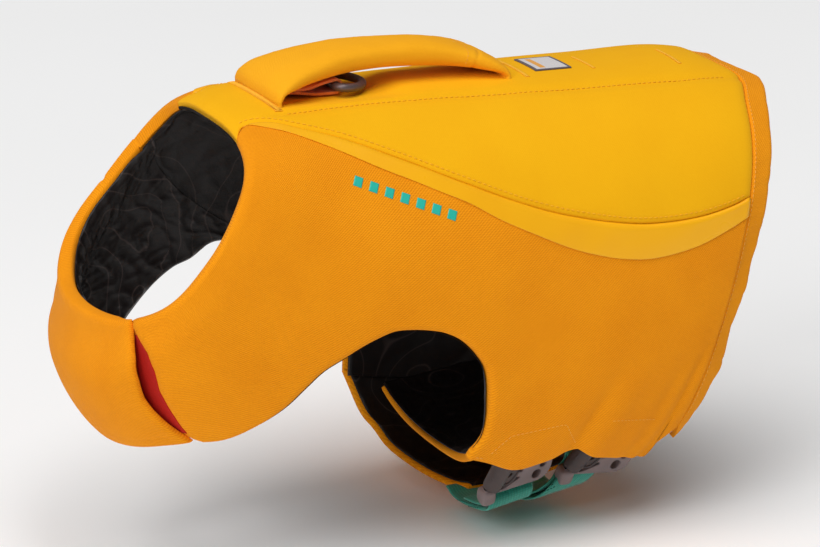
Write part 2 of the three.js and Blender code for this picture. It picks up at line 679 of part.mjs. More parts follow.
jacket.add(patchOnTop('label', 24, 44, -13, 11, 0.5, 0.5, LABEL));

// Padded handle: centre line, width, thickness and slope of each section.
const HANDLE = [
  [-119.5, 19.6, 56, 5, 88], [-119.2, 21.6, 56, 6, 80], [-117, 24.8, 55, 7.5, 58], [-110.5, 27.8, 51, 10.5, 26],
  [-98, 30.7, 42, 12.6, 12], [-80, 33.0, 33, 13.6, 4], [-60, 33.3, 28, 13.4, -1], [-40, 32.3, 27, 13.4, -5],
  [-24, 30.2, 28, 12.4, -10], [-10, 27, 32, 10.5, -22], [-1.5, 24, 36, 8.5, -36], [4.2, 21.2, 38, 6.5, -54], [6.5, 18.8, 39, 5, -72],
];
const ROUND = 14;
const handleSections = HANDLE.map(([x, z, width, thick, slope], i) => {
  const a = slope * Math.PI / 180;
  const points = [];
  for (let k = 0; k < ROUND; k++) {
    const t = 2 * Math.PI * (k + 0.5) / ROUND;
    const c = Math.cos(t);
    const s = Math.sin(t);
    const y = width / 2 * Math.sign(c) * Math.abs(c) ** 0.7;
    const h = thick / 2 * Math.sign(s) * Math.abs(s) ** 0.8;
    const p = new THREE.Vector3(x - Math.sin(a) * h, y, z + Math.cos(a) * h);
    if (i === 0 || i === HANDLE.length - 1) p.z = topAt(p.x, p.y) + 0.45;
    points.push(p);
  }
  return points;
});
jacket.add(loft('handle', handleSections, ORANGE));

// Webbing loop under the front of the handle, round the straight bar of the ring.
const BAR_X = -84;
const WEB = 1.3;
const ROD = 2.1;
const LOOP_HOLE = 2.55;
const loopBase = topAt(-98, 0) - hollowAt(-98, 0) + 0.4;
const BAR_Z = loopBase + WEB + LOOP_HOLE;

function arc(cx, cz, r, from, to, count) {
  const out = [];
  for (let k = 0; k <= count; k++) {
    const a = (from + (to - from) * k / count) * Math.PI / 180;
    out.push(new THREE.Vector2(cx + r * Math.cos(a), cz + r * Math.sin(a)));
  }
  return out;
}

function extrudeAlongY(name, outline, hole, y0, y1, color) {
  const shape = new THREE.Shape(outline);
  if (hole) shape.holes.push(new THREE.Path(hole));
  const geometry = new THREE.ExtrudeGeometry(shape, { depth: y1 - y0, bevelEnabled: false, curveSegments: 1 });
  geometry.rotateX(Math.PI / 2);
  geometry.translate(0, y1, 0);
  const mesh = new THREE.Mesh(geometry, new THREE.MeshStandardMaterial({ color }));
  mesh.name = name;
  return mesh;
}

const loopOutline = [
  new THREE.Vector2(-107, loopBase + 2.5),
  new THREE.Vector2(-101, loopBase + 1.3),
  ...arc(BAR_X, BAR_Z, LOOP_HOLE + WEB, -90, 100, 8),
  new THREE.Vector2(-98, loopBase + 4.8),
  new THREE.Vector2(-107, loopBase + 4.6),
];
const loopHole = [new THREE.Vector2(BAR_X - 8, BAR_Z - 2.4), ...arc(BAR_X, BAR_Z, LOOP_HOLE, -90, 100, 8), new THREE.Vector2(BAR_X - 8, BAR_Z - 1.4)];
jacket.add(extrudeAlongY('ring_loop', loopOutline, loopHole, -12.5, 12.5, 0xee7a26));

// Leash ring: a D bent from rod, lying back on the jacket.
const RING_TILT = -6 * Math.PI / 180;
const ringPath = [
  ...[-12, -4, 4, 12].map((y) => [0, y]),
  [1.0, 14.6], [3.2, 16], [7, 15.6], [11.5, 13.2], [15.4, 9], [17.6, 4.2], [18.2, 0],
  [17.6, -4.2], [15.4, -9], [11.5, -13.2], [7, -15.6], [3.2, -16], [1.0, -14.6],
];
const ringSections = ringPath.map(([x, y], i) => {
  const before = ringPath[(i + ringPath.length - 1) % ringPath.length];
  const after = ringPath[(i + 1) % ringPath.length];
  const side = new THREE.Vector2(after[1] - before[1], before[0] - after[0]).normalize();
  const points = [];
  for (let k = 0; k < 8; k++) {
    const t = 2 * Math.PI * k / 8;
    const px = x + side.x * ROD * Math.cos(t);
    const py = y + side.y * ROD * Math.cos(t);
    const pz = ROD * Math.sin(t);
    points.push(new THREE.Vector3(
      BAR_X + px * Math.cos(RING_TILT) - pz * Math.sin(RING_TILT),
      py,
      BAR_Z + px * Math.sin(RING_TILT) + pz * Math.cos(RING_TILT),
    ));
  }
  return points;
});
jacket.add(loft('leash_ring', ringSections, PLASTIC, true));

// Two side squeeze buckles standing under the hem of the left side.
const BUCKLE_WIDTH = 37.5;
const BUCKLE_HEIGHT = 37;
const BUCKLE_THICK = 5.5;

function rounded(x0, y0, x1, y1, r, reverse = false) {
  const corners = [[x1 - r, y0 + r, -90], [x1 - r, y1 - r, 0], [x0 + r, y1 - r, 90], [x0 + r, y0 + r, 180]];
  const points = corners.flatMap(([x, y, a]) => arc(x, y, r, a, a + 90, 3));
  return reverse ? points.reverse() : points;
}

function buckle(name, x, z, tilt) {
  const half = BUCKLE_WIDTH / 2;
  const shape = new THREE.Shape(rounded(-half, 0, half, BUCKLE_HEIGHT, 4.5));
  shape.holes.push(new THREE.Path(rounded(-10.5, 4.6, 8.5, 7.6, 1.4, true)));
  shape.holes.push(new THREE.Path(arc(13.6, 6.6, 2.5, 0, -330, 11)));
  shape.holes.push(new THREE.Path(rounded(-5.5, 11.5, 3.5, 17.5, 2, true)));
  shape.holes.push(new THREE.Path(arc(13.8, 14.0, 1.6, 0, -330, 11)));
  const geometry = new THREE.ExtrudeGeometry(shape, { depth: BUCKLE_THICK, bevelEnabled: false, curveSegments: 1 });
  geometry.translate(0, 0, -BUCKLE_THICK / 2);
  const across = new THREE.Vector3(Math.cos(tilt), 0, Math.sin(tilt));
  const up = new THREE.Vector3(0, -0.45, 0.893);
  up.addScaledVector(across, -up.dot(across)).normalize();
  const out = across.clone().cross(up);
  const place = new THREE.Matrix4().makeBasis(across, up, out).setPosition(x, -45, z);
  geometry.applyMatrix4(place);
  const mesh = new THREE.Mesh(geometry, new THREE.MeshStandardMaterial({ color: PLASTIC }));
  mesh.name = name;
  return mesh;
}

const TILT = 10 * Math.PI / 180;
jacket.add(buckle('buckle_front', -2, -190, TILT));
jacket.add(buckle('buckle_rear', 40, -183, TILT));

// Straps: flat webbing from under the right flap, doubled back behind each buckle.
function ribbon(name, path, width, thick, color) {
  const sections = path.map(([x, y, z, tilt], i) => {
    const here = new THREE.Vector3(x, y, z);
    const before = path[Math.max(i - 1, 0)];
    const after = path[Math.min(i + 1, path.length - 1)];
    const run = new THREE.Vector3(0, after[1] - before[1], after[2] - before[2]).normalize();
    const a = tilt * Math.PI / 180;
    const wide = new THREE.Vector3(Math.cos(a), 0, Math.sin(a));
    const flat = new THREE.Vector3(0, -run.z, run.y);
    const corner = (w, t) => here.clone().addScaledVector(wide, w * width / 2).addScaledVector(flat, t * thick / 2);
    return [corner(-1, -1), corner(1, -1), corner(1, 1), corner(-1, 1)];
  });
  return loft(name, sections, color);
}

function underFlap(u, angles) {
  return angles.map((v) => {
    const p = skin(u, v, -1.6);
    return [p.y, p.z];
  });
}

function strap(name, u, xs, buckleZ, dx) {
  const dz = buckleZ + 190;
  const start = underFlap(u, [-156, -163, -170, -176]).map(([y, z]) => [xs, y, z, 0]);
  const path = [
    ...start,
    [xs, -1, -205.1, 1], [xs, -14, -204.6, 3], [xs, -28, -202.6 + dz * 0.1, 6], [xs + dx * 0.15, -38.5, -200 + dz * 0.3, 9],
    [xs + dx * 0.3, -43.6, -197.2 + dz * 0.55, 10], [xs + dx * 0.6, -43.8, -192.6 + dz * 0.8, 10],
    [xs + dx * 0.9, -41.2, -188.4 + dz, 10], [xs + dx, -43.3, -184.2 + dz, 10], [xs + dx, -45.3, -180.2 + dz, 10],
    [xs + dx, -44.9, -178.4 + dz, 10], [xs + dx, -43.3, -178.0 + dz, 10], [xs + dx, -42.6, -179.4 + dz, 10],
    [xs + dx, -40.7, -183.3 + dz, 10], [xs + dx * 0.9, -38.6, -187.9 + dz, 10], [xs + dx * 0.6, -41.2, -192.6 + dz * 0.8, 10],
    [xs + dx * 0.3, -40.6, -195.4 + dz * 0.55, 10], [xs + dx * 0.15, -36.5, -197.7 + dz * 0.3, 9],
    [xs, -27, -200.2 + dz * 0.1, 6], [xs, -15, -201.9, 3],
  ];
  return ribbon(name, path, 25, 1.6, TEAL);
}

jacket.add(strap('strap_front', 5.2, -4.5, -190, 2));
jacket.add(strap('strap_rear', 5.9, 25, -183, 15));

export default jacket;
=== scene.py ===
"""Dog life jacket in its worn form: foam padded cloth, dark linings, webbing, buckles and a leash ring."""

import logging
import math
from collections.abc import Callable, Sequence
from dataclasses import dataclass
from enum import Enum

import bpy
import numpy as np
from mathutils import Matrix, Vector
from mathutils.bvhtree import BVHTree


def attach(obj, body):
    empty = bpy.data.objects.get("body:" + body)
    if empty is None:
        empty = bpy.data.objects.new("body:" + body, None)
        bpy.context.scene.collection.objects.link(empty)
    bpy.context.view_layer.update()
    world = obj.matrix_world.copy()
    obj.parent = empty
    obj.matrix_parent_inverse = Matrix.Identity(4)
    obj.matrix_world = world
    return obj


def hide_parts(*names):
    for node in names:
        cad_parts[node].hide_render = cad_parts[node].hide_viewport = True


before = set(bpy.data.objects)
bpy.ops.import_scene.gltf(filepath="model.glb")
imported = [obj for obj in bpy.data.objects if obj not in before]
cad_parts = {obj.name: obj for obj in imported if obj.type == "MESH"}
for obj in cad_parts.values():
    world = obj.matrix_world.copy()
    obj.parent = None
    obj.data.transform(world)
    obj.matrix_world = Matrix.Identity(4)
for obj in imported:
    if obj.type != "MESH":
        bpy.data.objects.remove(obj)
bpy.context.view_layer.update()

LOG = logging.getLogger("life_jacket")
MM = 0.001
CLOTH_UV = "cloth"
UV_MM_PER_RING = 44.0
UV_MM_PER_DEGREE = 1.48
WAVE_MM_PER_DEGREE = 1.5
STRAIGHT_WAVE = 0.314
DIAGONAL_WAVE = 0.444


class Body(Enum):
    """The bodies of the model that pieces ride on."""

    JACKET = "jacket"
    RING = "leash_ring"


class Slot(Enum):
    """Material slots of the record."""

    YELLOW = "yellow_cloth"
    ORANGE = "orange_cloth"
    TRIM = "trim_cloth"
    LINING = "lining_cloth"
    HANDLE = "handle_cloth"
    ORANGE_WEBBING = "orange_webbing"
    TEAL_WEBBING = "teal_webbing"
    RING = "ring_metal"
    PLASTIC = "buckle_plastic"
    LABEL = "label_cloth"


# Shape of the worn body, as the solids have it

RINGS = (
    (-148, 15, -219, -78, 73, 0.55, 3.0, 2.3, 12),
    (-130, 20, -223, -110, 77, 0.52, 2.8, 2.2, 13),
    (-104, 21, -201, -146, 80, 0.50, 2.6, 2.2, 13),
    (-72, 20, -148, -178, 83, 0.50, 2.5, 2.2, 8),
    (-30, 19, -86, -196, 85, 0.50, 2.5, 2.3, 4),
    (15, 18, -25, -203, 86, 0.50, 2.5, 2.4, 0),
    (60, 17, 28, -202, 87, 0.48, 2.5, 2.5, 0),
    (105, 16, 63, -195, 86, 0.47, 2.5, 2.6, 0),
    (139, 10, 84, -186, 82, 0.46, 2.6, 2.6, 0),
)
SEAM = (
    (0, 32), (0.35, 25.5), (0.9, 24.6), (1.6, 27.6), (2.4, 31.2), (3.1, 36), (3.8, 42.8),
    (4.5, 49.6), (5.2, 56), (5.9, 62.3), (6.6, 64.8), (7.15, 64), (7.53, 62),
)
REAR_SEAM = (
    (7.53, 62), (7.51, 76), (7.5, 90), (7.45, 105), (7.4, 118), (7.34, 129), (7.28, 138),
)
LEFT_INNER = (
    (1.78, 168), (1.88, 160), (2.03, 151), (2.15, 144.5), (2.36, 138), (2.5, 129), (2.61, 119.9),
    (2.68, 111.6), (2.77, 104.4), (2.93, 98.5), (3.09, 93.5), (3.25, 89.8), (3.36, 88), (3.45, 87.4),
    (3.54, 87.2), (3.65, 87.2), (3.79, 87.6), (3.92, 88.5), (4.08, 90.6), (4.22, 93.6), (4.35, 97.6),
    (4.44, 101.2), (4.51, 106.4), (4.56, 112), (4.6, 117), (4.62, 121.5), (4.62, 125), (4.59, 128),
    (4.56, 130), (4.55, 132),
)
LEFT_OUTER = (
    (0.5, 163), (0.3, 152), (0.06, 141), (-0.13, 131), (-0.13, 121), (-0.1, 108), (-0.05, 94), (0, 80),
    (0, 66), (0, 52), (0, 40), *SEAM, *REAR_SEAM[1:],
)
LEFT_CORNERS = (3, 11, 23)
HEM = (
    (0, 4.55, 132), (0.08, 4.77, 134.2), (0.17, 5.06, 137.6), (0.27, 5.38, 136.4),
    (0.38, 5.68, 134.1), (0.48, 5.93, 138.6), (0.58, 6.25, 142), (0.7, 6.6, 145.5),
    (0.82, 6.9, 148.5), (0.88, 6.95, 142), (1, 7.28, 138),
)
HEM_CORNERS = (4, 8)
RIGHT_INNER = (
    (2.83, 87), (2.92, 86.6), (3.0, 86.4), (3.1, 86.4), (3.22, 86.5), (3.36, 86.6), (3.45, 86.7),
    (3.54, 86.9), (3.65, 87.2), (3.78, 87.7), (3.9, 88.7), (4.05, 91), (4.18, 94), (4.3, 98),
    (4.38, 101.5), (4.43, 106.7), (4.45, 112), (4.47, 117), (4.49, 121.5), (4.5, 125), (4.5, 128),
    (4.5, 130), (4.5, 132),
)
RIGHT_OUTER = ((0, 64), (0, 55), (0, 47), (0, 40), *SEAM, *REAR_SEAM[1:6], (7.32, 132))
RIGHT_CORNERS = (4, 16)
CHEST_INNER = (
    (2.83, -87), (2.63, -90), (2.48, -96.5), (2.3, -101.5), (2.16, -109), (2.07, -118),
    (2.0, -128), (1.96, -140), (1.94, -155), (1.94, -170), (1.95, -185), (1.98, -197),
    (2.05, -208), (2.17, -216),
)
CHEST_OUTER = (
    (0, -64), (-0.1, -73), (-0.18, -83), (-0.24, -93), (-0.28, -104), (-0.3, -116), (-0.28, -128),
    (-0.24, -141), (-0.2, -155), (-0.17, -170), (-0.15, -185), (-0.15, -200), (-0.15, -215), (-0.14, -229),
)
LIP = (
    (0, 131), (0.27, 132.4), (0.58, 133.4), (1.03, 136.8), (1.35, 140.7), (1.57, 141.9),
    (1.85, 143), (2.17, 144),
)
FAR_FRONT = (
    (-132.1, 4.5), (-137, 4.57), (-145, 4.67), (-150, 4.77), (-156, 4.85), (-164, 5.0),
    (-172, 5.13), (-178, 5.22), (-181.5, 5.32),
)
FLAP_FRONT = (
    (-35, -65.5, -160.5), (-35, -61, -162.5), (-34.5, -50, -166.3), (-33, -33, -169),
    (-32, -10, -170), (-31, 12, -170), (-30, 28, -169.2), (-29, 45, -166.4), (-28, 58, -163),
)
FLAP_MIDDLE = (
    (-24, -70.0, -140), (-24, -57.5, -152), (-24, -49, -161.5), (-24, -35, -167.8),
    (-24, -12, -170), (-24, 12, -170), (-24, 30, -168.8), (-24, 46, -165.8), (-24, 57.5, -162.4),
)
FLAP_REAR = (
    (70, -70.8, -134), (70, -55, -143.8), (70, -48, -153), (70, -34, -158.5), (70, -12, -161),
    (70, 12, -161), (70, 30, -159.5), (70, 46, -156), (70, 56, -153),
)
TRIM_EDGE = (
    (0.2, 24), (0.81, 27.8), (1.4, 30.6), (2.09, 34.3), (2.6, 37.5), (3.2, 41.9), (3.58, 45.5),
    (3.95, 49.3), (4.3, 53.9), (4.78, 59.6), (5.38, 67.4), (5.77, 71.7), (6.15, 73.8),
    (6.67, 73.5), (7.19, 70.4), (7.6, 67.2),
)
HANDLE_LINE = (
    (-119.5, 19.6, 56, 5, 88), (-119.2, 21.6, 56, 6, 80), (-117, 24.8, 55, 7.5, 58),
    (-110.5, 27.8, 51, 10.5, 26), (-98, 30.7, 42, 12.6, 12), (-80, 33.0, 33, 13.6, 4),
    (-60, 33.3, 28, 13.4, -1), (-40, 32.3, 27, 13.4, -5),
    (-24, 30.2, 28, 12.4, -10), (-10, 27, 32, 10.5, -22), (-1.5, 24, 36, 8.5, -36), (4.2, 21.2, 38, 6.5, -54),
    (6.5, 18.8, 39, 5, -72),
)
SIDE_PAD = 10.0
CHEST_PAD = 9.0
SPINE_PAD = 16.2
BACK_REAR_U = 7.6
SPINE_CHANNELS = (
    (0.9, 22), (1.6, 20.2), (2.3, 18), (2.95, 16.4), (3.9, 15.8), (4.9, 16.9), (5.6, 18.6), (6.8, 20.8),
    (7.8, 20),
)
REAR_REACH = 0.17
REAR_REACH_AT = 19
NECK_RING_MM = 20.0
NECK_EDGE = (
    (0, 3.0, 5.6), (32, 2.8, 5.6), (40, 3.6, 6.6), (50, 4.2, 8.4), (60, 3.0, 9.2), (70, 2.4, 8.6), (80, 0, 8),
)
BAND_EDGE = (
    (0, 8.0), (8, 8.05), (16, 8.2), (22, 8.15), (30, 8.04), (40, 7.97), (60, 7.95), (79.5, 7.95), (88, 7.92),
    (96.1, 7.95), (108, 7.84), (122.5, 7.9), (128, 7.78), (135, 7.72), (147, 7.6),
)
HOLLOW = 3.5
HOLLOW_X = -84
TRIM_U = (0.2, 7.5)
EDGE_LINES = (0.06, 0.3, 0.7, 1.2, 1.8, 2.4, 3.1, 4.0, 5.2, 7.0, 9.2)


def line_through(points: Sequence, corners: Sequence[int] = ()) -> Callable:
    """Makes a smooth line through a table of points, with sharp corners where they are named.

    Args:
        points: Rows of numbers, one row a point.
        corners: Numbers of the rows that stay sharp.

    Returns:
        A function that turns an array of row numbers into an array of rows.
    """
    table = np.asarray(points, float)
    last = len(table) - 2

    def at(k: np.ndarray) -> np.ndarray:
        """Rows of the line at the row numbers k."""
        k = np.asarray(k, float)
        i = np.clip(np.floor(k).astype(int), 0, last)
        p1, p2 = table[i], table[i + 1]
        starts = ((i == 0) | np.isin(i, corners))[..., None]
        ends = ((i == last) | np.isin(i + 1, corners))[..., None]
        p0 = np.where(starts, 2 * p1 - p2, table[np.maximum(i - 1, 0)])
        p3 = np.where(ends, 2 * p2 - p1, table[np.minimum(i + 2, last + 1)])
        t = (k - i)[..., None]
        cubic = (3 * p1 - p0 - 3 * p2 + p3) * t**3
        return 0.5 * (2 * p1 + (p2 - p0) * t + (2 * p0 - 5 * p1 + 4 * p2 - p3) * t**2 + cubic)

    return at


ring_at = line_through(RINGS)


def body(u: np.ndarray, v: np.ndarray) -> np.ndarray:
    """Outer surface of the worn jacket, in millimetres.

    Args:
        u: Ring numbers, counted from the neck.
        v: Degrees from the spine, plus to the left side.

    Returns:
        Points, with x, y and z along the last axis.
    """
    u, v = np.broadcast_arrays(np.asarray(u, float), np.asarray(v, float))
    top_x, top_z, bot_x, bot_z, half, widest, crown, keel, bow = np.moveaxis(ring_at(u), -1, 0)
    length = np.hypot(top_x - bot_x, top_z - bot_z)
    ex, ez = (top_x - bot_x) / length, (top_z - bot_z) / length
    c, s = np.cos(np.radians(v)), np.sin(np.radians(v))
    reach = np.where(c >= 0, widest, 1 - widest) * length
    power = np.where(c >= 0, crown, keel)
    radius = ((np.abs(c) / reach) ** power + (np.abs(s) / half) ** power) ** (-1 / power)
    along = radius * c - widest * length
    lift = bow * s * s
    return np.stack([top_x + ex * along + ez * lift, -radius * s, top_z + ez * along - ex * lift], -1)


def unit(v: np.ndarray) -> np.ndarray:
    """Vectors of length one."""
    return v / np.maximum(np.linalg.norm(v, axis=-1, keepdims=True), 1e-9)


def outward(u: np.ndarray, v: np.ndarray) -> np.ndarray:
    """Normals of the outer surface."""
    du = body(u + 0.01, v) - body(u - 0.01, v)
    dv = body(u, v + 0.5) - body(u, v - 0.5)
    return -unit(np.cross(du, dv))


def smooth(x: np.ndarray) -> np.ndarray:
    """Smooth step from 0 to 1."""
    t = np.clip(x, 0, 1)
    return t * t * (3 - 2 * t)


def drop(distance: np.ndarray, radius: float, depth: np.ndarray) -> np.ndarray:
    """How far a rounded edge has dropped at a distance from it."""
    x = np.clip(1 - distance / radius, 0, 1)
    return depth * (1 - np.sqrt(1 - x * x))


def channel_angle(u: np.ndarray) -> np.ndarray:
    """Angle of the spine channels on ring u."""
    table = np.asarray(SPINE_CHANNELS)
    return np.interp(u, table[:, 0], table[:, 1])


def rear_reach(v: np.ndarray) -> np.ndarray:
    """How many rings further back the yellow cloth reaches beside the spine."""
    return REAR_REACH * np.exp(-(((np.abs(v) - REAR_REACH_AT) / 9) ** 2))


def pad(v: np.ndarray) -> np.ndarray:
    """Thickness of the foam, which is greatest along the spine."""
    return SIDE_PAD + (SPINE_PAD - SIDE_PAD) * (1 - smooth((np.abs(v) - 26) / 44))


def neck_drop(u: np.ndarray, v: np.ndarray) -> np.ndarray:
    """How far the outer cloth drops towards the neck edge, near the spine."""
    table = np.asarray(NECK_EDGE)
    return drop(np.maximum(u, 0) * NECK_RING_MM, 8, np.interp(np.abs(v), table[:, 0], table[:, 1]))


def neck_rise(u: np.ndarray, v: np.ndarray) -> np.ndarray:
    """How much thinner the foam is towards the neck edge, near the spine."""
    table = np.asarray(NECK_EDGE)
    near = np.exp(-((np.maximum(u, 0) * NECK_RING_MM / 16) ** 2)) * (1 - smooth((np.abs(v) - 62) / 18))
    return (pad(v) - np.interp(np.abs(v), table[:, 0], table[:, 2])) * near


def waves(a: np.ndarray, b: np.ndarray, length: float, seed: int, count: int = 5) -> np.ndarray:
    """Soft uneven waves from a few bent sine waves, between about -1 and 1.

    Args:
        a: First coordinate, in millimetres.
        b: Second coordinate.
        length: Typical wave length.
        seed: Number that picks the directions.
        count: How many waves are added.

    Returns:
        Heights of the shape of a and b.
    """
    draw = np.random.default_rng(seed)
    total = 0.0
    for _ in range(count):
        turn, phase, bend = draw.uniform(0, 2 * math.pi, 3)
        size = length * draw.uniform(0.6, 1.7)
        along = a * math.cos(turn) + b * math.sin(turn)
        across = b * math.cos(turn) - a * math.sin(turn)
        total = total + np.sin(2 * math.pi * along / size + phase + 1.3 * np.sin(across / size * 2.2 + bend))
    return total / count


def creases(a: np.ndarray, b: np.ndarray, length: float, seed: int) -> np.ndarray:
    """Sharp folded ridges between 0 and 1, for thin cloth."""
    first = 1 - np.abs(waves(a, b, length, seed))
    second = 1 - np.abs(waves(a, b, length * 0.6, seed + 7))
    return 0.65 * first**6 + 0.35 * second**8


def lip_angle(u: np.ndarray) -> np.ndarray:
    """Angle of the open lip of the chest wrap on ring u."""
    table = np.asarray(LIP)
    return np.interp(u, table[:, 0], table[:, 1]) + np.minimum(u, 0) * 5.2


@dataclass
class Patch:
    """A grid of places on the worn body, with the distance of each from the four edges in millimetres."""

    u: np.ndarray
    v: np.ndarray
    k: np.ndarray
    start: np.ndarray
    end: np.ndarray
    first: np.ndarray
    last: np.ndarray

    @classmethod
    def measured(cls, u: np.ndarray, v: np.ndarray, k: np.ndarray, inset: float = 0.0) -> "Patch":
        """Measures the distances of a grid.

        Args:
            u: Ring numbers, column by column.
            v: Angles.
            k: Column numbers of the edge lines.
            inset: Distance of the first line from the true edge.

        Returns:
            The patch.
        """
        points = body(u, v)
        across = np.zeros(u.shape)
        across[:, 1:] = np.cumsum(np.linalg.norm(np.diff(points, axis=1), axis=-1), axis=1)
        down = np.zeros(u.shape)
        down[1:] = np.cumsum(np.linalg.norm(np.diff(points, axis=0), axis=-1), axis=0)
        k = np.broadcast_to(np.asarray(k, float)[:, None], u.shape)
        width = across[:, -1:]
        return cls(u, v, k, across + inset, width - across + inset, down, down[-1:] - down)

    def uv(self) -> np.ndarray:
        """Flat cloth coordinates in millimetres."""
        return np.stack([self.u * UV_MM_PER_RING, self.v * UV_MM_PER_DEGREE], -1)

    def flat(self, per_degree: float = WAVE_MM_PER_DEGREE) -> tuple[np.ndarray, np.ndarray]:
        """Places along and round the body in millimetres, for waves and creases."""
        return self.u * UV_MM_PER_RING, self.v * per_degree

    def at(self, depth: np.ndarray) -> np.ndarray:
        """Points at a depth below the outer surface."""
        return body(self.u, self.v) - outward(self.u, self.v) * np.asarray(depth)[..., None]


def patch_between(
    inner: Callable,
    outer: Callable,
    columns: np.ndarray,
    lines: Sequence[float] = EDGE_LINES,
    count: int = 40,
    sign: int = 1,
    bend: Callable | None = None,
    end_lines: Sequence[float] | None = None,
) -> Patch:
    """Makes the grid of a panel between two edge lines.

    Args:
        inner: Line of the first edge.
        outer: Line of the second edge.
        columns: Places along both lines.
        lines: Distances from the edges of the close lines. They may start below 0.
        count: How many even lines lie between the close ones.
        sign: 1 for the left side, -1 for the right.
        bend: Moves u and v of the finished grid.
        end_lines: Close lines of the second edge, where they differ.

    Returns:
        The patch.
    """
    lines = np.asarray(lines, float)
    end_lines = lines if end_lines is None else np.asarray(end_lines, float)
    a, b = inner(columns), outer(columns)
    a[:, 1] *= sign
    b[:, 1] *= sign
    f = np.linspace(0, 1, 61)
    way = a[:, None] + (b - a)[:, None] * f[None, :, None]
    points = body(way[..., 0], way[..., 1])
    run = np.zeros(points.shape[:2])
    run[:, 1:] = np.cumsum(np.linalg.norm(np.diff(points, axis=1), axis=-1), axis=1)
    total = run[:, -1]
    inside = np.arange(1, count + 1) / (count + 1)
    rows = []
    for i in range(len(columns)):
        middle = lines[-1] + (total[i] - lines[-1] - end_lines[-1]) * inside
        wanted = np.concatenate([lines, middle, total[i] - end_lines[::-1]])
        share = np.interp(wanted, run[i], f)
        share = np.where(wanted < 0, wanted / total[i], share)
        share = np.where(wanted > total[i], 1 + (wanted - total[i]) / total[i], share)
        rows.append(share)
    share = np.stack(rows)
    u = a[:, :1] + (b[:, :1] - a[:, :1]) * share
    v = a[:, 1:] + (b[:, 1:] - a[:, 1:]) * share
    if bend:
        u, v = bend(u, v, share, columns)
    made = Patch.measured(u, v, columns)
    made.start = made.start + lines[0]
    made.end = made.end + end_lines[0]
    return made


def spaced(
    first: float, last: float, count: int, close: Sequence[float] = (0.02, 0.06, 0.14, 0.28)
) -> np.ndarray:
    """Works out column numbers, with close ones at both ends.

    Args:
        first: First number.
        last: Last number.
        count: How many even ones there are.
        close: Distances of the close ones from the ends.

    Returns:
        The numbers, in order.
    """
    near = np.asarray(close)
    even = np.linspace(first, last, count)[1:-1]
    return np.unique(np.concatenate([[first], first + near, even, last - near, [last]]))


# Meshes


def mesh_object(
    name: str, points: np.ndarray, faces: Sequence, uv: np.ndarray | None = None
) -> bpy.types.Object:
    """Makes a smooth shaded object.

    Args:
        name: Name of the piece.
        points: Vertices in millimetres.
        faces: Rows of vertex numbers.
        uv: Cloth coordinates of each vertex.

    Returns:
        The object, linked to the scene.
    """
    mesh = bpy.data.meshes.new(name)
    mesh.from_pydata((np.asarray(points, float) * MM).tolist(), [], [list(map(int, f)) for f in faces])
    mesh.validate()
    made = bpy.data.objects.new(name, mesh)
    bpy.context.collection.objects.link(made)
    mesh.polygons.foreach_set("use_smooth", [True] * len(mesh.polygons))
    if uv is not None:
        layer = mesh.uv_layers.new(name=CLOTH_UV)
        order = np.empty(len(mesh.loops), dtype=int)
        mesh.loops.foreach_get("vertex_index", order)
        layer.data.foreach_set("uv", np.asarray(uv, np.float32)[order].ravel())
    return made


def signed_volume(points: np.ndarray, faces: np.ndarray) -> float:
    """Volume inside quads, below 0 where they face in."""
    p = points[faces]
    return np.einsum("ij,ij->i", p[:, 0], np.cross(p[:, 1], p[:, 2]) + np.cross(p[:, 2], p[:, 3])).sum()


def slab(
    name: str, upper: np.ndarray, lower: np.ndarray, uv: np.ndarray, bulge: float | np.ndarray = 0.0
) -> bpy.types.Object:
    """Makes a closed piece between two grids of points.

    Args:
        name: Name of the piece.
        upper: Grid of the outer face.
        lower: Grid of the inner face.
        uv: Cloth coordinates of the grid.
        bulge: How far the edge stands out at half its height, for all places or as a grid.

    Returns:
        The object.
    """
    n, m = upper.shape[:2]
    grid = np.arange(n * m).reshape(n, m)
    top = np.stack([grid[:-1, :-1], grid[:-1, 1:], grid[1:, 1:], grid[1:, :-1]], -1).reshape(-1, 4)
    faces = [top, top[:, ::-1] + n * m]
    ring = np.concatenate([grid[0, :-1], grid[:-1, -1], grid[-1, :0:-1], grid[:0:-1, 0]])
    i, j = np.divmod(ring, m)
    away = unit(upper[i, j] - upper[np.clip(i, 2, n - 3), np.clip(j, 2, m - 3)])
    amount = np.broadcast_to(bulge, (n, m))[i, j]
    points, maps = [upper.reshape(-1, 3), lower.reshape(-1, 3)], [uv.reshape(-1, 2)] * 2
    rows = [ring]
    for k, t in enumerate((0.2, 0.5, 0.8)):
        points.append(upper[i, j] * (1 - t) + lower[i, j] * t + away * (amount * 4 * t * (1 - t))[:, None])
        maps.append(uv.reshape(-1, 2)[ring])
        rows.append(2 * n * m + k * len(ring) + np.arange(len(ring)))
    rows.append(ring + n * m)
    for a, b in zip(rows, rows[1:]):
        faces.append(np.stack([np.roll(a, -1), a, b, np.roll(b, -1)], -1))
    points = np.concatenate(points)
    faces = np.concatenate(faces)
    if signed_volume(points, faces) <= 0:
        faces = faces[:, ::-1]
    return mesh_object(name, points, faces, np.concatenate(maps))


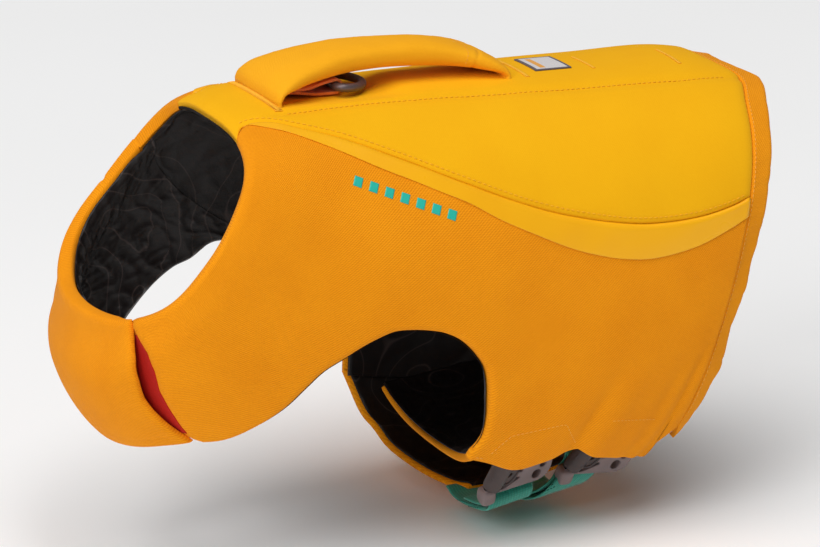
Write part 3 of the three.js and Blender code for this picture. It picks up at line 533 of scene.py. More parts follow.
def tube(
    name: str, rings: np.ndarray, uv: np.ndarray | None = None, endless: bool = False
) -> bpy.types.Object:
    """Makes a tube from rings of points.

    Args:
        name: Name of the piece.
        rings: Points, ring by ring.
        uv: Cloth coordinates of the points.
        endless: Joins the last ring to the first one. Otherwise the ends are closed.

    Returns:
        The object.
    """
    n, m = rings.shape[:2]
    points = rings.reshape(-1, 3)
    grid = np.arange(n * m).reshape(n, m)
    if endless:
        grid = np.concatenate([grid, grid[:1]])
    grid = np.concatenate([grid, grid[:, :1]], 1)
    faces = np.stack([grid[:-1, :-1], grid[1:, :-1], grid[1:, 1:], grid[:-1, 1:]], -1).reshape(-1, 4)
    volume = signed_volume(points, faces)
    if volume < 0:
        faces = faces[:, ::-1]
    ends = []
    if not endless:
        ends = [list(range(m)), list(range((n - 1) * m, n * m))]
        ends[0 if volume >= 0 else 1].reverse()
    if uv is None:
        uv = np.stack(np.meshgrid(np.arange(n), np.arange(m), indexing="ij"), -1)
    return mesh_object(name, points, [*faces.tolist(), *ends], uv.reshape(-1, 2))


def frames_along(path: np.ndarray, up: np.ndarray) -> tuple[np.ndarray, np.ndarray, np.ndarray]:
    """Directions along, across and up at each point of a path."""
    run = unit(np.gradient(path, axis=0))
    side = unit(np.cross(up, run))
    return run, side, np.cross(run, side)


def resampled(path: np.ndarray, step: float) -> np.ndarray:
    """Points of a path at even steps."""
    run = np.concatenate([[0], np.cumsum(np.linalg.norm(np.diff(path, axis=0), axis=1))])
    count = max(int(round(run[-1] / step)), 1) + 1
    wanted = np.linspace(0, run[-1], count)
    return np.stack([np.interp(wanted, run, path[:, i]) for i in range(path.shape[1])], 1)


class Ground:
    """Finished surfaces that small pieces are laid on."""

    def __init__(self, *objects: bpy.types.Object) -> None:
        """Collects the faces of the objects."""
        points: list = []
        faces: list = []
        for item in objects:
            base = len(points)
            points += [v.co.copy() for v in item.data.vertices]
            faces += [[base + i for i in p.vertices] for p in item.data.polygons]
        self.tree = BVHTree.FromPolygons(points, faces)

    def below(
        self, points: np.ndarray, normals: np.ndarray, reach: float = 12.0
    ) -> tuple[np.ndarray, np.ndarray]:
        """Drops points on the surface.

        Args:
            points: Points near the surface, in millimetres.
            normals: Directions away from it.
            reach: How far above the point the drop starts.

        Returns:
            Points on the surface and its normals there.
        """
        hits, ups = [], []
        for p, n in zip(points, normals):
            start = Vector(p + n * reach) * MM
            hit, normal, _, _ = self.tree.ray_cast(start, Vector(-n))
            if hit is None:
                hit, normal, _, _ = self.tree.find_nearest(Vector(p) * MM)
            if normal.dot(Vector(n)) < 0:
                normal = -normal
            hits.append(np.array(hit) / MM)
            ups.append(np.array(normal))
        return np.array(hits), np.array(ups)

    def seen(self, studio: "Studio", pixels: Sequence) -> tuple[np.ndarray, np.ndarray]:
        """Finds the points of the surface behind places of the photograph's frame.

        Args:
            studio: Studio with the camera.
            pixels: Places of the frame.

        Returns:
            Points on the surface and its normals there.
        """
        hits, ups = [], []
        for x, y in pixels:
            start, way = studio.ray(x, y)
            hit, normal, _, _ = self.tree.ray_cast(start, way)
            if hit is not None:
                hits.append(np.array(hit) / MM)
                ups.append(np.array(-normal if normal.dot(way) > 0 else normal))
        return np.array(hits), np.array(ups)


class Threads:
    """Collects stitches of one thread and makes them one piece."""

    SIDES = 6
    PROFILE = ((-1.0, 0.0), (-0.82, 0.62), (-0.4, 0.95), (0.4, 0.95), (0.82, 0.62), (1.0, 0.0))

    def __init__(self, name: str) -> None:
        """Starts an empty set of stitches."""
        self.name = name
        self.points: list[np.ndarray] = []

    def stitch(self, a: np.ndarray, b: np.ndarray, up: np.ndarray, radius: float, arch: float = 0.0) -> None:
        """Adds one stitch.

        Args:
            a: Place where it comes out of the cloth, in millimetres.
            b: Place where it goes in.
            up: Direction away from the cloth.
            radius: Half the thickness of the thread.
            arch: How far its middle stands up.
        """
        run = (b - a) / 2
        along = unit(run)
        side = np.cross(up, along)
        turns = np.arange(self.SIDES) * 2 * math.pi / self.SIDES
        rings = []
        for t, r in self.PROFILE:
            centre = (a + b) / 2 + run * t + up * arch * (1 - t * t)
            r = max(r, 0.02) * radius
            rings.append([centre + side * r * math.cos(w) + up * r * 0.8 * math.sin(w) for w in turns])
        self.points.append(np.array(rings))

    def line(self, points: np.ndarray, ups: np.ndarray, pitch: float = 2.8, share: float = 0.72,
             radius: float = 0.3, lift: float = 0.12) -> None:
        """Adds a running line of stitches.

        Args:
            points: Points on the cloth.
            ups: Normals of the cloth there.
            pitch: Distance from stitch to stitch.
            share: Part of the pitch that the stitch takes.
            radius: Half the thickness of the thread.
            lift: Height of the thread over the cloth.
        """
        if len(points) < 2:
            return
        both = resampled(np.concatenate([points, ups], 1), pitch / 4)
        run = np.concatenate([[0], np.cumsum(np.linalg.norm(np.diff(both[:, :3], axis=0), axis=1))])
        count = int(run[-1] / pitch)
        for i in range(count):
            ends = []
            for s in (i * pitch, (i + share) * pitch):
                ends.append(np.array([np.interp(s, run, both[:, j]) for j in range(6)]))
            up = unit(ends[0][3:])
            self.stitch(ends[0][:3] + up * lift, ends[1][:3] + up * lift, up, radius, arch=0.05)

    def bars(self, points: np.ndarray, ups: np.ndarray, width: float, pitch: float, radius: float,
             lift: float = 0.15, slant: float = 0.25) -> None:
        """Adds close stitches across a line, as a bar tack or an overlocked edge has.

        Args:
            points: Points along the line.
            ups: Normals of the cloth there.
            width: Length of each stitch.
            pitch: Distance from stitch to stitch.
            radius: Half the thickness of the thread.
            lift: Height of the thread over the cloth.
            slant: How far the stitches lean, to and fro.
        """
        both = resampled(np.concatenate([points, ups], 1), pitch)
        path, up = both[:, :3], unit(both[:, 3:])
        run, side, _ = frames_along(path, up)
        for i in range(len(path)):
            lean = side[i] + run[i] * slant * (-1) ** i
            a = path[i] - lean * width / 2 + up[i] * lift
            b = path[i] + lean * width / 2 + up[i] * lift
            self.stitch(a, b, up[i], radius, arch=0.2)

    def make(self) -> bpy.types.Object:
        """Makes the piece of all the stitches."""
        rows = len(self.PROFILE)
        grid = np.arange(rows * self.SIDES).reshape(rows, self.SIDES)
        grid = np.concatenate([grid, grid[:, :1]], 1)
        one = np.stack([grid[:-1, :-1], grid[1:, :-1], grid[1:, 1:], grid[:-1, 1:]], -1).reshape(-1, 4)
        size = rows * self.SIDES
        faces: list = []
        for i in range(len(self.points)):
            faces += (one + i * size).tolist()
            faces.append([i * size + j for j in range(self.SIDES)])
            faces.append([i * size + size - 1 - j for j in range(self.SIDES)])
        points = np.concatenate([p.reshape(-1, 3) for p in self.points])
        return mesh_object(self.name, points, faces, points[:, :2])


# Materials


def linear(colour: str) -> tuple[float, float, float, float]:
    """Turns an sRGB hex value to linear colour.

    Args:
        colour: Value such as #FBA011.

    Returns:
        Red, green, blue and alpha.
    """
    parts = [int(colour[i : i + 2], 16) / 255 for i in (1, 3, 5)]
    return (*[c / 12.92 if c <= 0.04045 else ((c + 0.055) / 1.055) ** 2.4 for c in parts], 1.0)


def add(
    tree: bpy.types.NodeTree, kind: str, links: dict | None = None, output: int | str = 0, **settings: object
) -> bpy.types.NodeSocket | None:
    """Adds a node with its settings and links.

    Args:
        tree: Node tree of the material.
        kind: Type of the node, without the word that all shader nodes begin with.
        links: Its inputs by name or number, each a value or another node's result.
        output: Name or number of the result that is wanted.
        **settings: The node's own settings.

    Returns:
        The result, or None where the node has none.
    """
    made = tree.nodes.new("ShaderNode" + kind)
    for key, value in settings.items():
        setattr(made, key, value)
    for key, value in (links or {}).items():
        socket = made.inputs[key]
        if isinstance(value, bpy.types.NodeSocket):
            tree.links.new(value, socket)
        else:
            socket.default_value = value
    return made.outputs[output] if made.outputs else None


def bands(where: bpy.types.NodeSocket, period: float, bend: float, wave: float = STRAIGHT_WAVE) -> dict:
    """Works out the inputs of a wave texture from the spacing of the threads.

    Args:
        where: Cloth coordinates, in millimetres.
        period: Distance from thread to thread, in millimetres.
        bend: How uneven the threads run.
        wave: Scale at which the texture's waves are 1 mm apart.

    Returns:
        The inputs by name.
    """
    return {"Vector": where, "Scale": wave / period, "Distortion": bend, "Detail": 1.0, "Detail Scale": 1.5}


@dataclass(frozen=True)
class Finish:
    """What all finishes have: a name, a colour, and the shade of its hollows, fibres or wear."""

    name: str
    colour: str
    shade: str

    def tint(self, tree: bpy.types.NodeTree, share: bpy.types.NodeSocket) -> bpy.types.NodeSocket:
        """Colour between the finish's own and its shade."""
        return add(tree, "Mix", {0: share, 6: linear(self.colour), 7: linear(self.shade)}, 2, data_type="RGBA")

    def inputs(self, tree: bpy.types.NodeTree) -> dict:
        """Inputs of the shader, by name."""
        raise NotImplementedError

    def make(self) -> bpy.types.Material:
        """Makes the material.

        Returns:
            The material, with its shader and output.
        """
        made = bpy.data.materials.new(self.name)
        made.use_nodes = True
        made.node_tree.nodes.clear()
        shader = add(made.node_tree, "BsdfPrincipled", self.inputs(made.node_tree))
        add(made.node_tree, "OutputMaterial", {"Surface": shader})
        return made


@dataclass(frozen=True)
class WovenPolyester(Finish):
    """Dyed polyester in a close weave, as on outdoor gear: matt, even colour, a slight bloom at grazing angles.

    The ridges are real thread bundles of about 0.7 mm, drawn a little coarser so that they show.
    """

    ridge_mm: float
    relief: float
    roughness: float = 0.8
    sheen: float = 0.02
    contrast: float = 0.5

    def inputs(self, tree: bpy.types.NodeTree) -> dict:
        """Weave as relief and tone, with a soft mottle and lint."""
        where = add(tree, "UVMap", uv_map=CLOTH_UV)
        place = add(tree, "TexCoord", output="Object")
        ridge = add(tree, "TexWave", bands(where, self.ridge_mm, 0.7, DIAGONAL_WAVE), "Fac", bands_direction="DIAGONAL")
        warp = add(tree, "TexWave", bands(where, self.ridge_mm * 0.8, 0.3), "Fac", bands_direction="Y")
        low = add(tree, "Math", {0: warp, 1: 0.3}, operation="MULTIPLY")
        height = add(tree, "Math", {0: ridge, 1: 0.7, 2: low}, operation="MULTIPLY_ADD")
        soft = add(tree, "TexNoise", {"Vector": place, "Scale": 38.0, "Detail": 3.0})
        lint = add(tree, "TexNoise", {"Vector": place, "Scale": 900.0, "Detail": 2.0})
        tone = add(tree, "Math", {0: lint, 1: 0.35, 2: self.contrast - 0.425}, operation="MULTIPLY_ADD")
        tone = add(tree, "Math", {0: soft, 1: 0.5, 2: tone}, operation="MULTIPLY_ADD")
        tone = add(tree, "Math", {0: height, 1: -self.contrast, 2: tone}, operation="MULTIPLY_ADD")
        bump = add(tree, "Bump", {"Strength": self.relief, "Distance": 0.00025, "Height": height})
        return {
            "Base Color": self.tint(tree, tone), "Roughness": self.roughness, "Sheen Weight": self.sheen,
            "Sheen Roughness": 0.5, "Specular IOR Level": 0.1, "Normal": bump,
        }


@dataclass(frozen=True)
class CoatedPolyester(Finish):
    """Polyester with a smooth printed film: brighter than the cloth round it, with soft highlights."""

    def inputs(self, tree: bpy.types.NodeTree) -> dict:
        """Film with a slight grain and uneven gloss."""
        place = add(tree, "TexCoord", output="Object")
        soft = add(tree, "TexNoise", {"Vector": place, "Scale": 30.0, "Detail": 2.0})
        fine = add(tree, "TexNoise", {"Vector": place, "Scale": 700.0, "Detail": 1.0})
        bump = add(tree, "Bump", {"Strength": 0.06, "Distance": 0.0002, "Height": fine})
        rough = add(tree, "Math", {0: soft, 1: 0.14, 2: 0.22}, operation="MULTIPLY_ADD")
        return {"Base Color": self.tint(tree, soft), "Roughness": rough, "Normal": bump, "IOR": 1.4}


@dataclass(frozen=True)
class PrintedLining(Finish):
    """Thin dark nylon taffeta: a dull gloss on its folds, and faint wandering lines printed in the shade."""

    levels: float = 13.0

    def inputs(self, tree: bpy.types.NodeTree) -> dict:
        """Printed lines along the levels of a soft relief, over creases and a fine weave."""
        place = add(tree, "TexCoord", output="Object")
        hills = add(tree, "TexNoise", {"Vector": place, "Scale": 15.0, "Detail": 1.6})
        hills = add(tree, "Math", {0: hills, 1: self.levels}, operation="MULTIPLY")
        level = add(tree, "Math", {0: hills}, operation="FRACT")
        gap = add(tree, "Math", {0: level, 1: 0.5}, operation="SUBTRACT")
        gap = add(tree, "Math", {0: gap}, operation="ABSOLUTE")
        print_line = add(tree, "MapRange", {0: gap, 1: 0.0, 2: 0.055, 3: 0.4, 4: 0.0})
        weave = add(tree, "TexNoise", {"Vector": place, "Scale": 1600.0, "Detail": 1.0})
        crease = add(tree, "TexNoise", {"Vector": place, "Scale": 70.0, "Detail": 4.0})
        height = add(tree, "Math", {0: weave, 1: 0.15, 2: crease}, operation="MULTIPLY_ADD")
        bump = add(tree, "Bump", {"Strength": 0.35, "Distance": 0.002, "Height": height})
        colour = self.tint(tree, print_line)
        return {"Base Color": colour, "Roughness": 0.44, "Specular IOR Level": 0.34, "Normal": bump}


@dataclass(frozen=True)
class WovenWebbing(Finish):
    """Woven nylon webbing: raised ribs across its width and a soft silky gloss.

    The ribs are spaced 1.6 mm, and u runs along the webbing while v runs across it.
    """

    rib_mm: float = 1.6

    def inputs(self, tree: bpy.types.NodeTree) -> dict:
        """Ribs and picks as relief and tone."""
        where = add(tree, "UVMap", uv_map=CLOTH_UV)
        place = add(tree, "TexCoord", output="Object")
        rib = add(tree, "TexWave", bands(where, self.rib_mm, 0.2), "Fac", bands_direction="Y")
        pick = add(tree, "TexWave", bands(where, self.rib_mm * 0.55, 0.4), "Fac", bands_direction="X")
        low = add(tree, "Math", {0: pick, 1: 0.4}, operation="MULTIPLY")
        height = add(tree, "Math", {0: rib, 1: 0.6, 2: low}, operation="MULTIPLY_ADD")
        soft = add(tree, "TexNoise", {"Vector": place, "Scale": 120.0, "Detail": 3.0})
        tone = add(tree, "Math", {0: soft, 1: 0.6, 2: 0.3}, operation="MULTIPLY_ADD")
        tone = add(tree, "Math", {0: height, 1: -0.6, 2: tone}, operation="MULTIPLY_ADD")
        bump = add(tree, "Bump", {"Strength": 0.5, "Distance": 0.0003, "Height": height})
        return {"Base Color": self.tint(tree, tone), "Roughness": 0.48, "Sheen Weight": 0.2, "Normal": bump}


@dataclass(frozen=True)
class MouldedPlastic(Finish):
    """Injection moulded acetal: satin, faintly grained, paler on its sharp edges."""

    roughness: float = 0.42

    def inputs(self, tree: bpy.types.NodeTree) -> dict:
        """Mottle with pale edges, and a fine grain."""
        place = add(tree, "TexCoord", output="Object")
        grain = add(tree, "TexNoise", {"Vector": place, "Scale": 1300.0, "Detail": 2.0})
        soft = add(tree, "TexNoise", {"Vector": place, "Scale": 90.0, "Detail": 2.0})
        edge_sharpness = add(tree, "NewGeometry", output="Pointiness")
        edge = add(tree, "MapRange", {0: edge_sharpness, 1: 0.5, 2: 0.6, 3: 0.0, 4: 0.5})
        tone = add(tree, "Math", {0: soft, 1: edge}, operation="SUBTRACT")
        bump = add(tree, "Bump", {"Strength": 0.12, "Distance": 0.0001, "Height": grain})
        rough = add(tree, "Math", {0: soft, 1: 0.1, 2: self.roughness}, operation="MULTIPLY_ADD")
        return {"Base Color": self.tint(tree, tone), "Roughness": rough, "IOR": 1.48, "Normal": bump}


@dataclass(frozen=True)
class AnodisedAluminium(Finish):
    """Aluminium rod, blasted and anodised dark grey: a dim satin metal with tiny scuffs."""

    def inputs(self, tree: bpy.types.NodeTree) -> dict:
        """Scuffs as tone, relief and gloss."""
        place = add(tree, "TexCoord", output="Object")
        scuff = add(tree, "TexNoise", {"Vector": place, "Scale": 400.0, "Detail": 4.0})
        bump = add(tree, "Bump", {"Strength": 0.1, "Distance": 0.0001, "Height": scuff})
        rough = add(tree, "Math", {0: scuff, 1: 0.16, 2: 0.36}, operation="MULTIPLY_ADD")
        return {"Base Color": self.tint(tree, scuff), "Metallic": 0.55, "Roughness": rough, "Normal": bump}


@dataclass(frozen=True)
class SewingThread(Finish):
    """Bonded polyester thread: nearly matt, with a fine twist."""

    def inputs(self, tree: bpy.types.NodeTree) -> dict:
        """Twist as tone and relief."""
        place = add(tree, "TexCoord", output="Object")
        twist = add(tree, "TexNoise", {"Vector": place, "Scale": 1500.0, "Detail": 1.0})
        bump = add(tree, "Bump", {"Strength": 0.3, "Distance": 0.0001, "Height": twist})
        colour = self.tint(tree, twist)
        return {"Base Color": colour, "Roughness": 0.6, "Specular IOR Level": 0.2, "Normal": bump}


@dataclass(frozen=True)
class PaintedBoard(Finish):
    """Board rolled with matt white paint: even and without gloss."""

    def inputs(self, tree: bpy.types.NodeTree) -> dict:
        """A barely uneven coat."""
        place = add(tree, "TexCoord", output="Object")
        soft = add(tree, "TexNoise", {"Vector": place, "Scale": 3.0})
        return {"Base Color": self.tint(tree, soft), "Roughness": 0.9}


@dataclass(frozen=True)
class WovenLabel(Finish):
    """Damask woven label: pale satin ground, a border woven in the shade, and a plain bar."""

    bar: str
    half_x: float = 10.0
    half_y: float = 12.0
    border_x: float = 1.5
    border_y: float = 1.3
    bar_x: float = -4.4
    bar_half: float = 1.6
    bar_inset: float = 3.0

    def inputs(self, tree: bpy.types.NodeTree) -> dict:
        """Border and bar by their places on the label, over a fine weave."""
        where = add(tree, "UVMap", uv_map=CLOTH_UV)
        x = add(tree, "SeparateXYZ", {0: where}, "X")
        y = add(tree, "SeparateXYZ", {0: where}, "Y")
        from_bar = add(tree, "Math", {0: x, 1: -self.bar_x}, operation="ADD")
        out_x, out_y, out_bar = (add(tree, "Math", {0: at}, operation="ABSOLUTE") for at in (x, y, from_bar))
        far_x = add(tree, "Math", {0: out_x, 1: self.half_x - self.border_x}, operation="GREATER_THAN")
        far_y = add(tree, "Math", {0: out_y, 1: self.half_y - self.border_y}, operation="GREATER_THAN")
        rim = add(tree, "Math", {0: far_x, 1: far_y}, operation="MAXIMUM")
        near_bar = add(tree, "Math", {0: out_bar, 1: self.bar_half}, operation="LESS_THAN")
        near_y = add(tree, "Math", {0: out_y, 1: self.half_y - self.bar_inset}, operation="LESS_THAN")
        on_bar = add(tree, "Math", {0: near_bar, 1: near_y}, operation="MULTIPLY")
        weave = add(tree, "TexWave", bands(where, 0.7, 0.3), "Fac", bands_direction="X")
        faint = add(tree, "Math", {0: weave, 1: 0.25}, operation="MULTIPLY")
        colour = add(tree, "Mix", {0: on_bar, 6: self.tint(tree, faint), 7: linear(self.bar)}, 2, data_type="RGBA")
        colour = add(tree, "Mix", {0: rim, 6: colour, 7: linear(self.shade)}, 2, data_type="RGBA")
        bump = add(tree, "Bump", {"Strength": 0.4, "Distance": 0.0002, "Height": weave})
        return {"Base Color": colour, "Roughness": 0.5, "Sheen Weight": 0.2, "Normal": bump}


@dataclass
class Wardrobe:
    """All the finishes of the jacket, made once."""

    yellow: bpy.types.Material
    orange: bpy.types.Material
    band: bpy.types.Material
    handle: bpy.types.Material
    trim: bpy.types.Material
    facing: bpy.types.Material
    lining: bpy.types.Material
    loop: bpy.types.Material
    teal: bpy.types.Material
    plastic: bpy.types.Material
    plastic_dark: bpy.types.Material
    ring: bpy.types.Material
    label: bpy.types.Material
    yellow_thread: bpy.types.Material
    orange_thread: bpy.types.Material
    pale_thread: bpy.types.Material
    dark_thread: bpy.types.Material
    teal_thread: bpy.types.Material
    teal_print: bpy.types.Material

    @classmethod
    def made(cls) -> "Wardrobe":
        """Makes the finishes."""
        return cls(
            yellow=WovenPolyester("yellow_plain_weave_polyester", "#F7B60E", "#EDA406", 0.8, 0.2, contrast=0.4).make(),
            orange=WovenPolyester("orange_twill_polyester", "#FBA011", "#DE7E05", 1.2, 0.7, contrast=0.75).make(),
            band=WovenPolyester("orange_edge_band_polyester", "#FAA014", "#DE8006", 1.2, 0.6).make(),
            handle=WovenPolyester("handle_plain_weave_polyester", "#FBB11C", "#EE9C0E", 0.8, 0.3, contrast=0.4).make(),
            trim=CoatedPolyester("yellow_film_coated_polyester", "#FBB816", "#F5AC0E").make(),
            # Deep red weave: painted shade inside the chest wrap's sleeve.
            facing=WovenPolyester("deep_red_plain_weave_facing", "#C4241A", "#A01410", 0.8, 0.3).make(),
            lining=PrintedLining("dark_printed_nylon_taffeta", "#120C0B", "#584A46").make(),
            loop=WovenWebbing("orange_nylon_webbing", "#F5863A", "#D9601C").make(),
            teal=WovenWebbing("teal_nylon_webbing", "#35A590", "#14705F").make(),
            plastic=MouldedPlastic("grey_brown_moulded_acetal", "#8A7A7A", "#655858").make(),
            # Darker copy of the buckle's acetal: painted shade for the parts that sit under the hem.
            plastic_dark=MouldedPlastic("moulded_acetal_painted_shade", "#4C403F", "#352B2A").make(),
            ring=AnodisedAluminium("dark_anodised_aluminium", "#75686A", "#5A4E50").make(),
            label=WovenLabel("woven_damask_label", "#E9E4E4", "#5B5662", "#F0A63A").make(),
            yellow_thread=SewingThread("yellow_bonded_thread", "#FFC62E", "#E9A316").make(),
            orange_thread=SewingThread("orange_bonded_thread", "#FFBE54", "#E99C2A").make(),
            pale_thread=SewingThread("pale_yellow_overlock_thread", "#FFC83C", "#F0A92A").make(),
            dark_thread=SewingThread("dark_overlock_thread", "#140E0C", "#0C0807").make(),
            teal_thread=SewingThread("dark_teal_bonded_thread", "#16685C", "#0E4E45").make(),
            teal_print=CoatedPolyester("teal_rubber_print", "#33C2AE", "#2BAF9D").make(),
        )


def dress(item: bpy.types.Object, material: bpy.types.Material | None, body_name: Body = Body.JACKET,
          nodes: Sequence[str] = ()) -> bpy.types.Object:
    """Gives a piece its material and body, and hides the solids that it stands for."""
    if material:
        item.data.materials.clear()
        item.data.materials.append(material)
    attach(item, body_name.value)
    if nodes:
        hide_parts(*nodes)
    LOG.info("%s: %d faces", item.name, len(item.data.polygons))
    return item


# Studio


@dataclass
class Studio:
    """Camera at the photograph's angle, plain pale floor and soft lights. Sizes in millimetres."""

    width: int = 820
    height: int = 547
    lens: float = 165.0
    sensor: float = 36.0
    view: tuple = (-0.4031, -0.8644, 0.3007)
    aim: tuple = (-38.6, 0.0, -82.9)
    distance: float = 1879.0
    floor_z: float = -214.0

    def axes(self) -> tuple[Vector, Vector, Vector, Vector]:
        """Place of the camera and its right, up and forward directions."""
        back = Vector(self.view).normalized()
        right = Vector((0, 0, 1)).cross(back).normalized()
        place = (Vector(self.aim) + back * self.distance) * MM
        return place, right, back.cross(right), -back

    def ray(self, x: float, y: float) -> tuple[Vector, Vector]:
        """Line of sight through a place of the frame, in pixels."""
        place, right, up, forward = self.axes()
        focal = self.lens / self.sensor * self.width
        way = forward + right * ((x - self.width / 2) / focal) - up * ((y - self.height / 2) / focal)
        return place, way.normalized()

    def camera(self) -> None:
        """Makes the camera."""
        data = bpy.data.cameras.new("photo_camera")
        data.lens, data.sensor_width, data.clip_end = self.lens, self.sensor, 20.0
        item = bpy.data.objects.new("photo_camera", data)
        place, right, up, forward = self.axes()
        item.matrix_world = Matrix((
            (right.x, up.x, -forward.x, place.x), (right.y, up.y, -forward.y, place.y),
            (right.z, up.z, -forward.z, place.z), (0, 0, 0, 1),
        ))
        bpy.context.collection.objects.link(item)
        bpy.context.scene.camera = item

    def floor(self) -> None:
        """Makes the floor, of painted board."""
        z = self.floor_z
        corners = np.array([(-4e3, -4e3, z), (4e3, -4e3, z), (4e3, 4e3, z), (-4e3, 4e3, z)])
        item = mesh_object("studio_floor", corners, [(0, 1, 2, 3)])
        item.data.materials.append(PaintedBoard("white_painted_board", "#FFFFFF", "#FAFAFA").make())

    def light(self, name: str, place: tuple, target: tuple, size: float, power: float) -> None:
        """Makes one soft area light."""
        data = bpy.data.lights.new(name, "AREA")
        data.shape, data.size, data.energy = "DISK", size, power
        item = bpy.data.objects.new(name, data)
        item.location = Vector(place)
        item.rotation_euler = (Vector(target) - Vector(place)).to_track_quat("-Z", "Y").to_euler()
        bpy.context.collection.objects.link(item)

    def sky(self, place: tuple, target: tuple, spread: float, power: float) -> None:
        """Makes the wide overhead light, which reaches all of the floor alike."""
        data = bpy.data.lights.new("overhead_softbox", "SUN")
        data.angle, data.energy = math.radians(spread), power
        item = bpy.data.objects.new("overhead_softbox", data)
        item.rotation_euler = (Vector(target) - Vector(place)).to_track_quat("-Z", "Y").to_euler()
        bpy.context.collection.objects.link(item)

    def build(self) -> None:
        """Makes the studio."""
        self.camera()
        self.floor()
        target = (0.0, 0.0, -0.08)
        self.sky((-0.35, -0.5, 1.9), target, 50.0, 2.15)
        self.light("front_softbox", (-2.0, -1.25, 1.35), target, 1.3, 23.0)
        world = bpy.data.worlds.new("studio_air")
        bpy.context.scene.world = world
        world.use_nodes = True
        world.node_tree.nodes["Background"].inputs[0].default_value = linear("#FFFFFF")
        world.node_tree.nodes["Background"].inputs[1].default_value = 0.14
        bpy.context.scene.view_settings.view_transform = "Standard"
        LOG.info("studio ready")


# Panels


@dataclass
class LeftSide:
    """Left side with its tongue for the chest wrap and the hem tabs over the buckles."""

    columns: int = 150
    lines: int = 44
    edge_radius: float = 4.0
    edge_drop: float = 2.4

    def bend(self, u: np.ndarray, v: np.ndarray, f: np.ndarray, columns: np.ndarray) -> tuple:
        """Brings the last columns to the hem."""
        hem = line_through(HEM, HEM_CORNERS)
        table = np.asarray(HEM)
        to = hem(np.interp(np.clip(f, 0, 1), table[:, 0], np.arange(len(HEM))))
        w = smooth((columns - 23) / 6)[:, None]
        u = u + w * (to[..., 1] - (4.55 + (7.28 - 4.55) * f))
        return u, v + w * (to[..., 2] - (132 + 6 * f))

    def patch(self, lines: Sequence[float] = EDGE_LINES, count: int | None = None, columns: np.ndarray | None = None,
              end_lines: Sequence[float] | None = None) -> Patch:
        """Grid of the panel."""
        if columns is None:
            columns = spaced(0, 29, self.columns)
        return patch_between(line_through(LEFT_INNER), line_through(LEFT_OUTER, LEFT_CORNERS), columns, lines,
                             count or self.lines, 1, self.bend, end_lines)

    def tongue(self, p: Patch) -> np.ndarray:
        """Share by which a place lies inside the chest wrap."""
        reach = self.reach(p.u)
        x = np.clip((p.v - lip_angle(p.u) + reach) / (reach + 1.5), 0, 1)
        return (1 - (1 - x) ** 2) * smooth((3.0 - p.u) / 0.6)

    @staticmethod
    def reach(u: np.ndarray) -> np.ndarray:
        """Degrees before the lip at which the panel starts to dive."""
        return 2.4 + 7.6 * np.sin(np.pi * np.clip(u / 2.1, 0, 1))

    def dive(self, p: Patch) -> np.ndarray:
        """Depth of the tongue under the chest wrap."""
        middle = np.sin(np.pi * np.clip(p.u / 2.1, 0, 1))
        return self.tongue(p) * (3.9 + 4.9 * middle) + 5.8 * smooth((p.v - lip_angle(p.u)) / 10) * (p.u < 3)

    def hem_thin(self, p: Patch) -> np.ndarray:
        """Share by which the foam has ended at the hem."""
        return smooth((p.v - 112) / 20) * smooth((p.u - 4.2) / 0.5)

    def upper(self, p: Patch) -> np.ndarray:
        """Depth of the outer cloth."""
        inside = self.tongue(p)
        thin = self.hem_thin(p)
        front = 1 - smooth((p.k - 10.7) / 0.6)
        ends = drop(p.end, self.edge_radius, self.edge_drop) * front + drop(p.end, 3.2, 2.2) * (1 - front)
        ends = np.maximum(ends, neck_drop(p.u, p.v))
        edge = np.maximum(drop(p.start, self.edge_radius, self.edge_drop * (1 - 0.4 * thin)), ends)
        folds = 0.5 * waves(*p.flat(), 90, 3) + self.hem_folds(p)
        depth = self.dive(p) + np.maximum(edge * (1 - 0.7 * inside), drop(p.last, 4, 0.6))
        return depth + folds * (1 - inside) * smooth(np.minimum(p.start, p.end) / 12)

    def hem_folds(self, p: Patch) -> np.ndarray:
        """Soft valleys where the straps pull the hem in."""
        near = smooth((p.v - 104) / 22)
        valley = 0.0
        for u0, width, depth in ((5.62, 0.1, 1.6), (5.95, 0.16, -1.0), (6.6, 0.12, 0.9), (6.95, 0.1, 1.3), (5.2, 0.14, -0.7)):
            middle = u0 + 0.012 * (132 - p.v)
            valley = valley + depth * np.exp(-(((p.u - middle) / width) ** 2))
        return valley * near

    def lower(self, p: Patch) -> np.ndarray:
        """Depth of the inner face of the foam."""
        inside = self.tongue(p)
        thin = self.hem_thin(p)
        thick = pad(p.v) * (1 - inside) + 4 * inside
        thick = thick * (1 - thin) + 3.4 * thin
        base = self.dive(p) + inside * 0.8 + thick
        round_in = 2.0 * (1 - 0.85 * np.maximum(inside, thin))
        edge = np.maximum(drop(p.start, 4, round_in), np.where(p.k < 11, drop(p.end, 4, round_in), 0))
        return base - np.maximum(edge, neck_rise(p.u, p.v))

    def bulge(self, p: Patch) -> np.ndarray:
        """How far the open edges stand out."""
        free = (p.start < 0.5) | ((p.end < 0.5) & (p.k < 11))
        return 0.8 * free * (1 - 0.6 * self.hem_thin(p)) * (1 - 0.8 * self.tongue(p))

    def build(self, looks: Wardrobe) -> bpy.types.Object:
        """Makes the padded side."""
        p = self.patch()
        item = slab("side_left_padded", p.at(self.upper(p)), p.at(self.lower(p)), p.uv(), self.bulge(p))
        return dress(item, looks.orange, nodes=["side_left"])


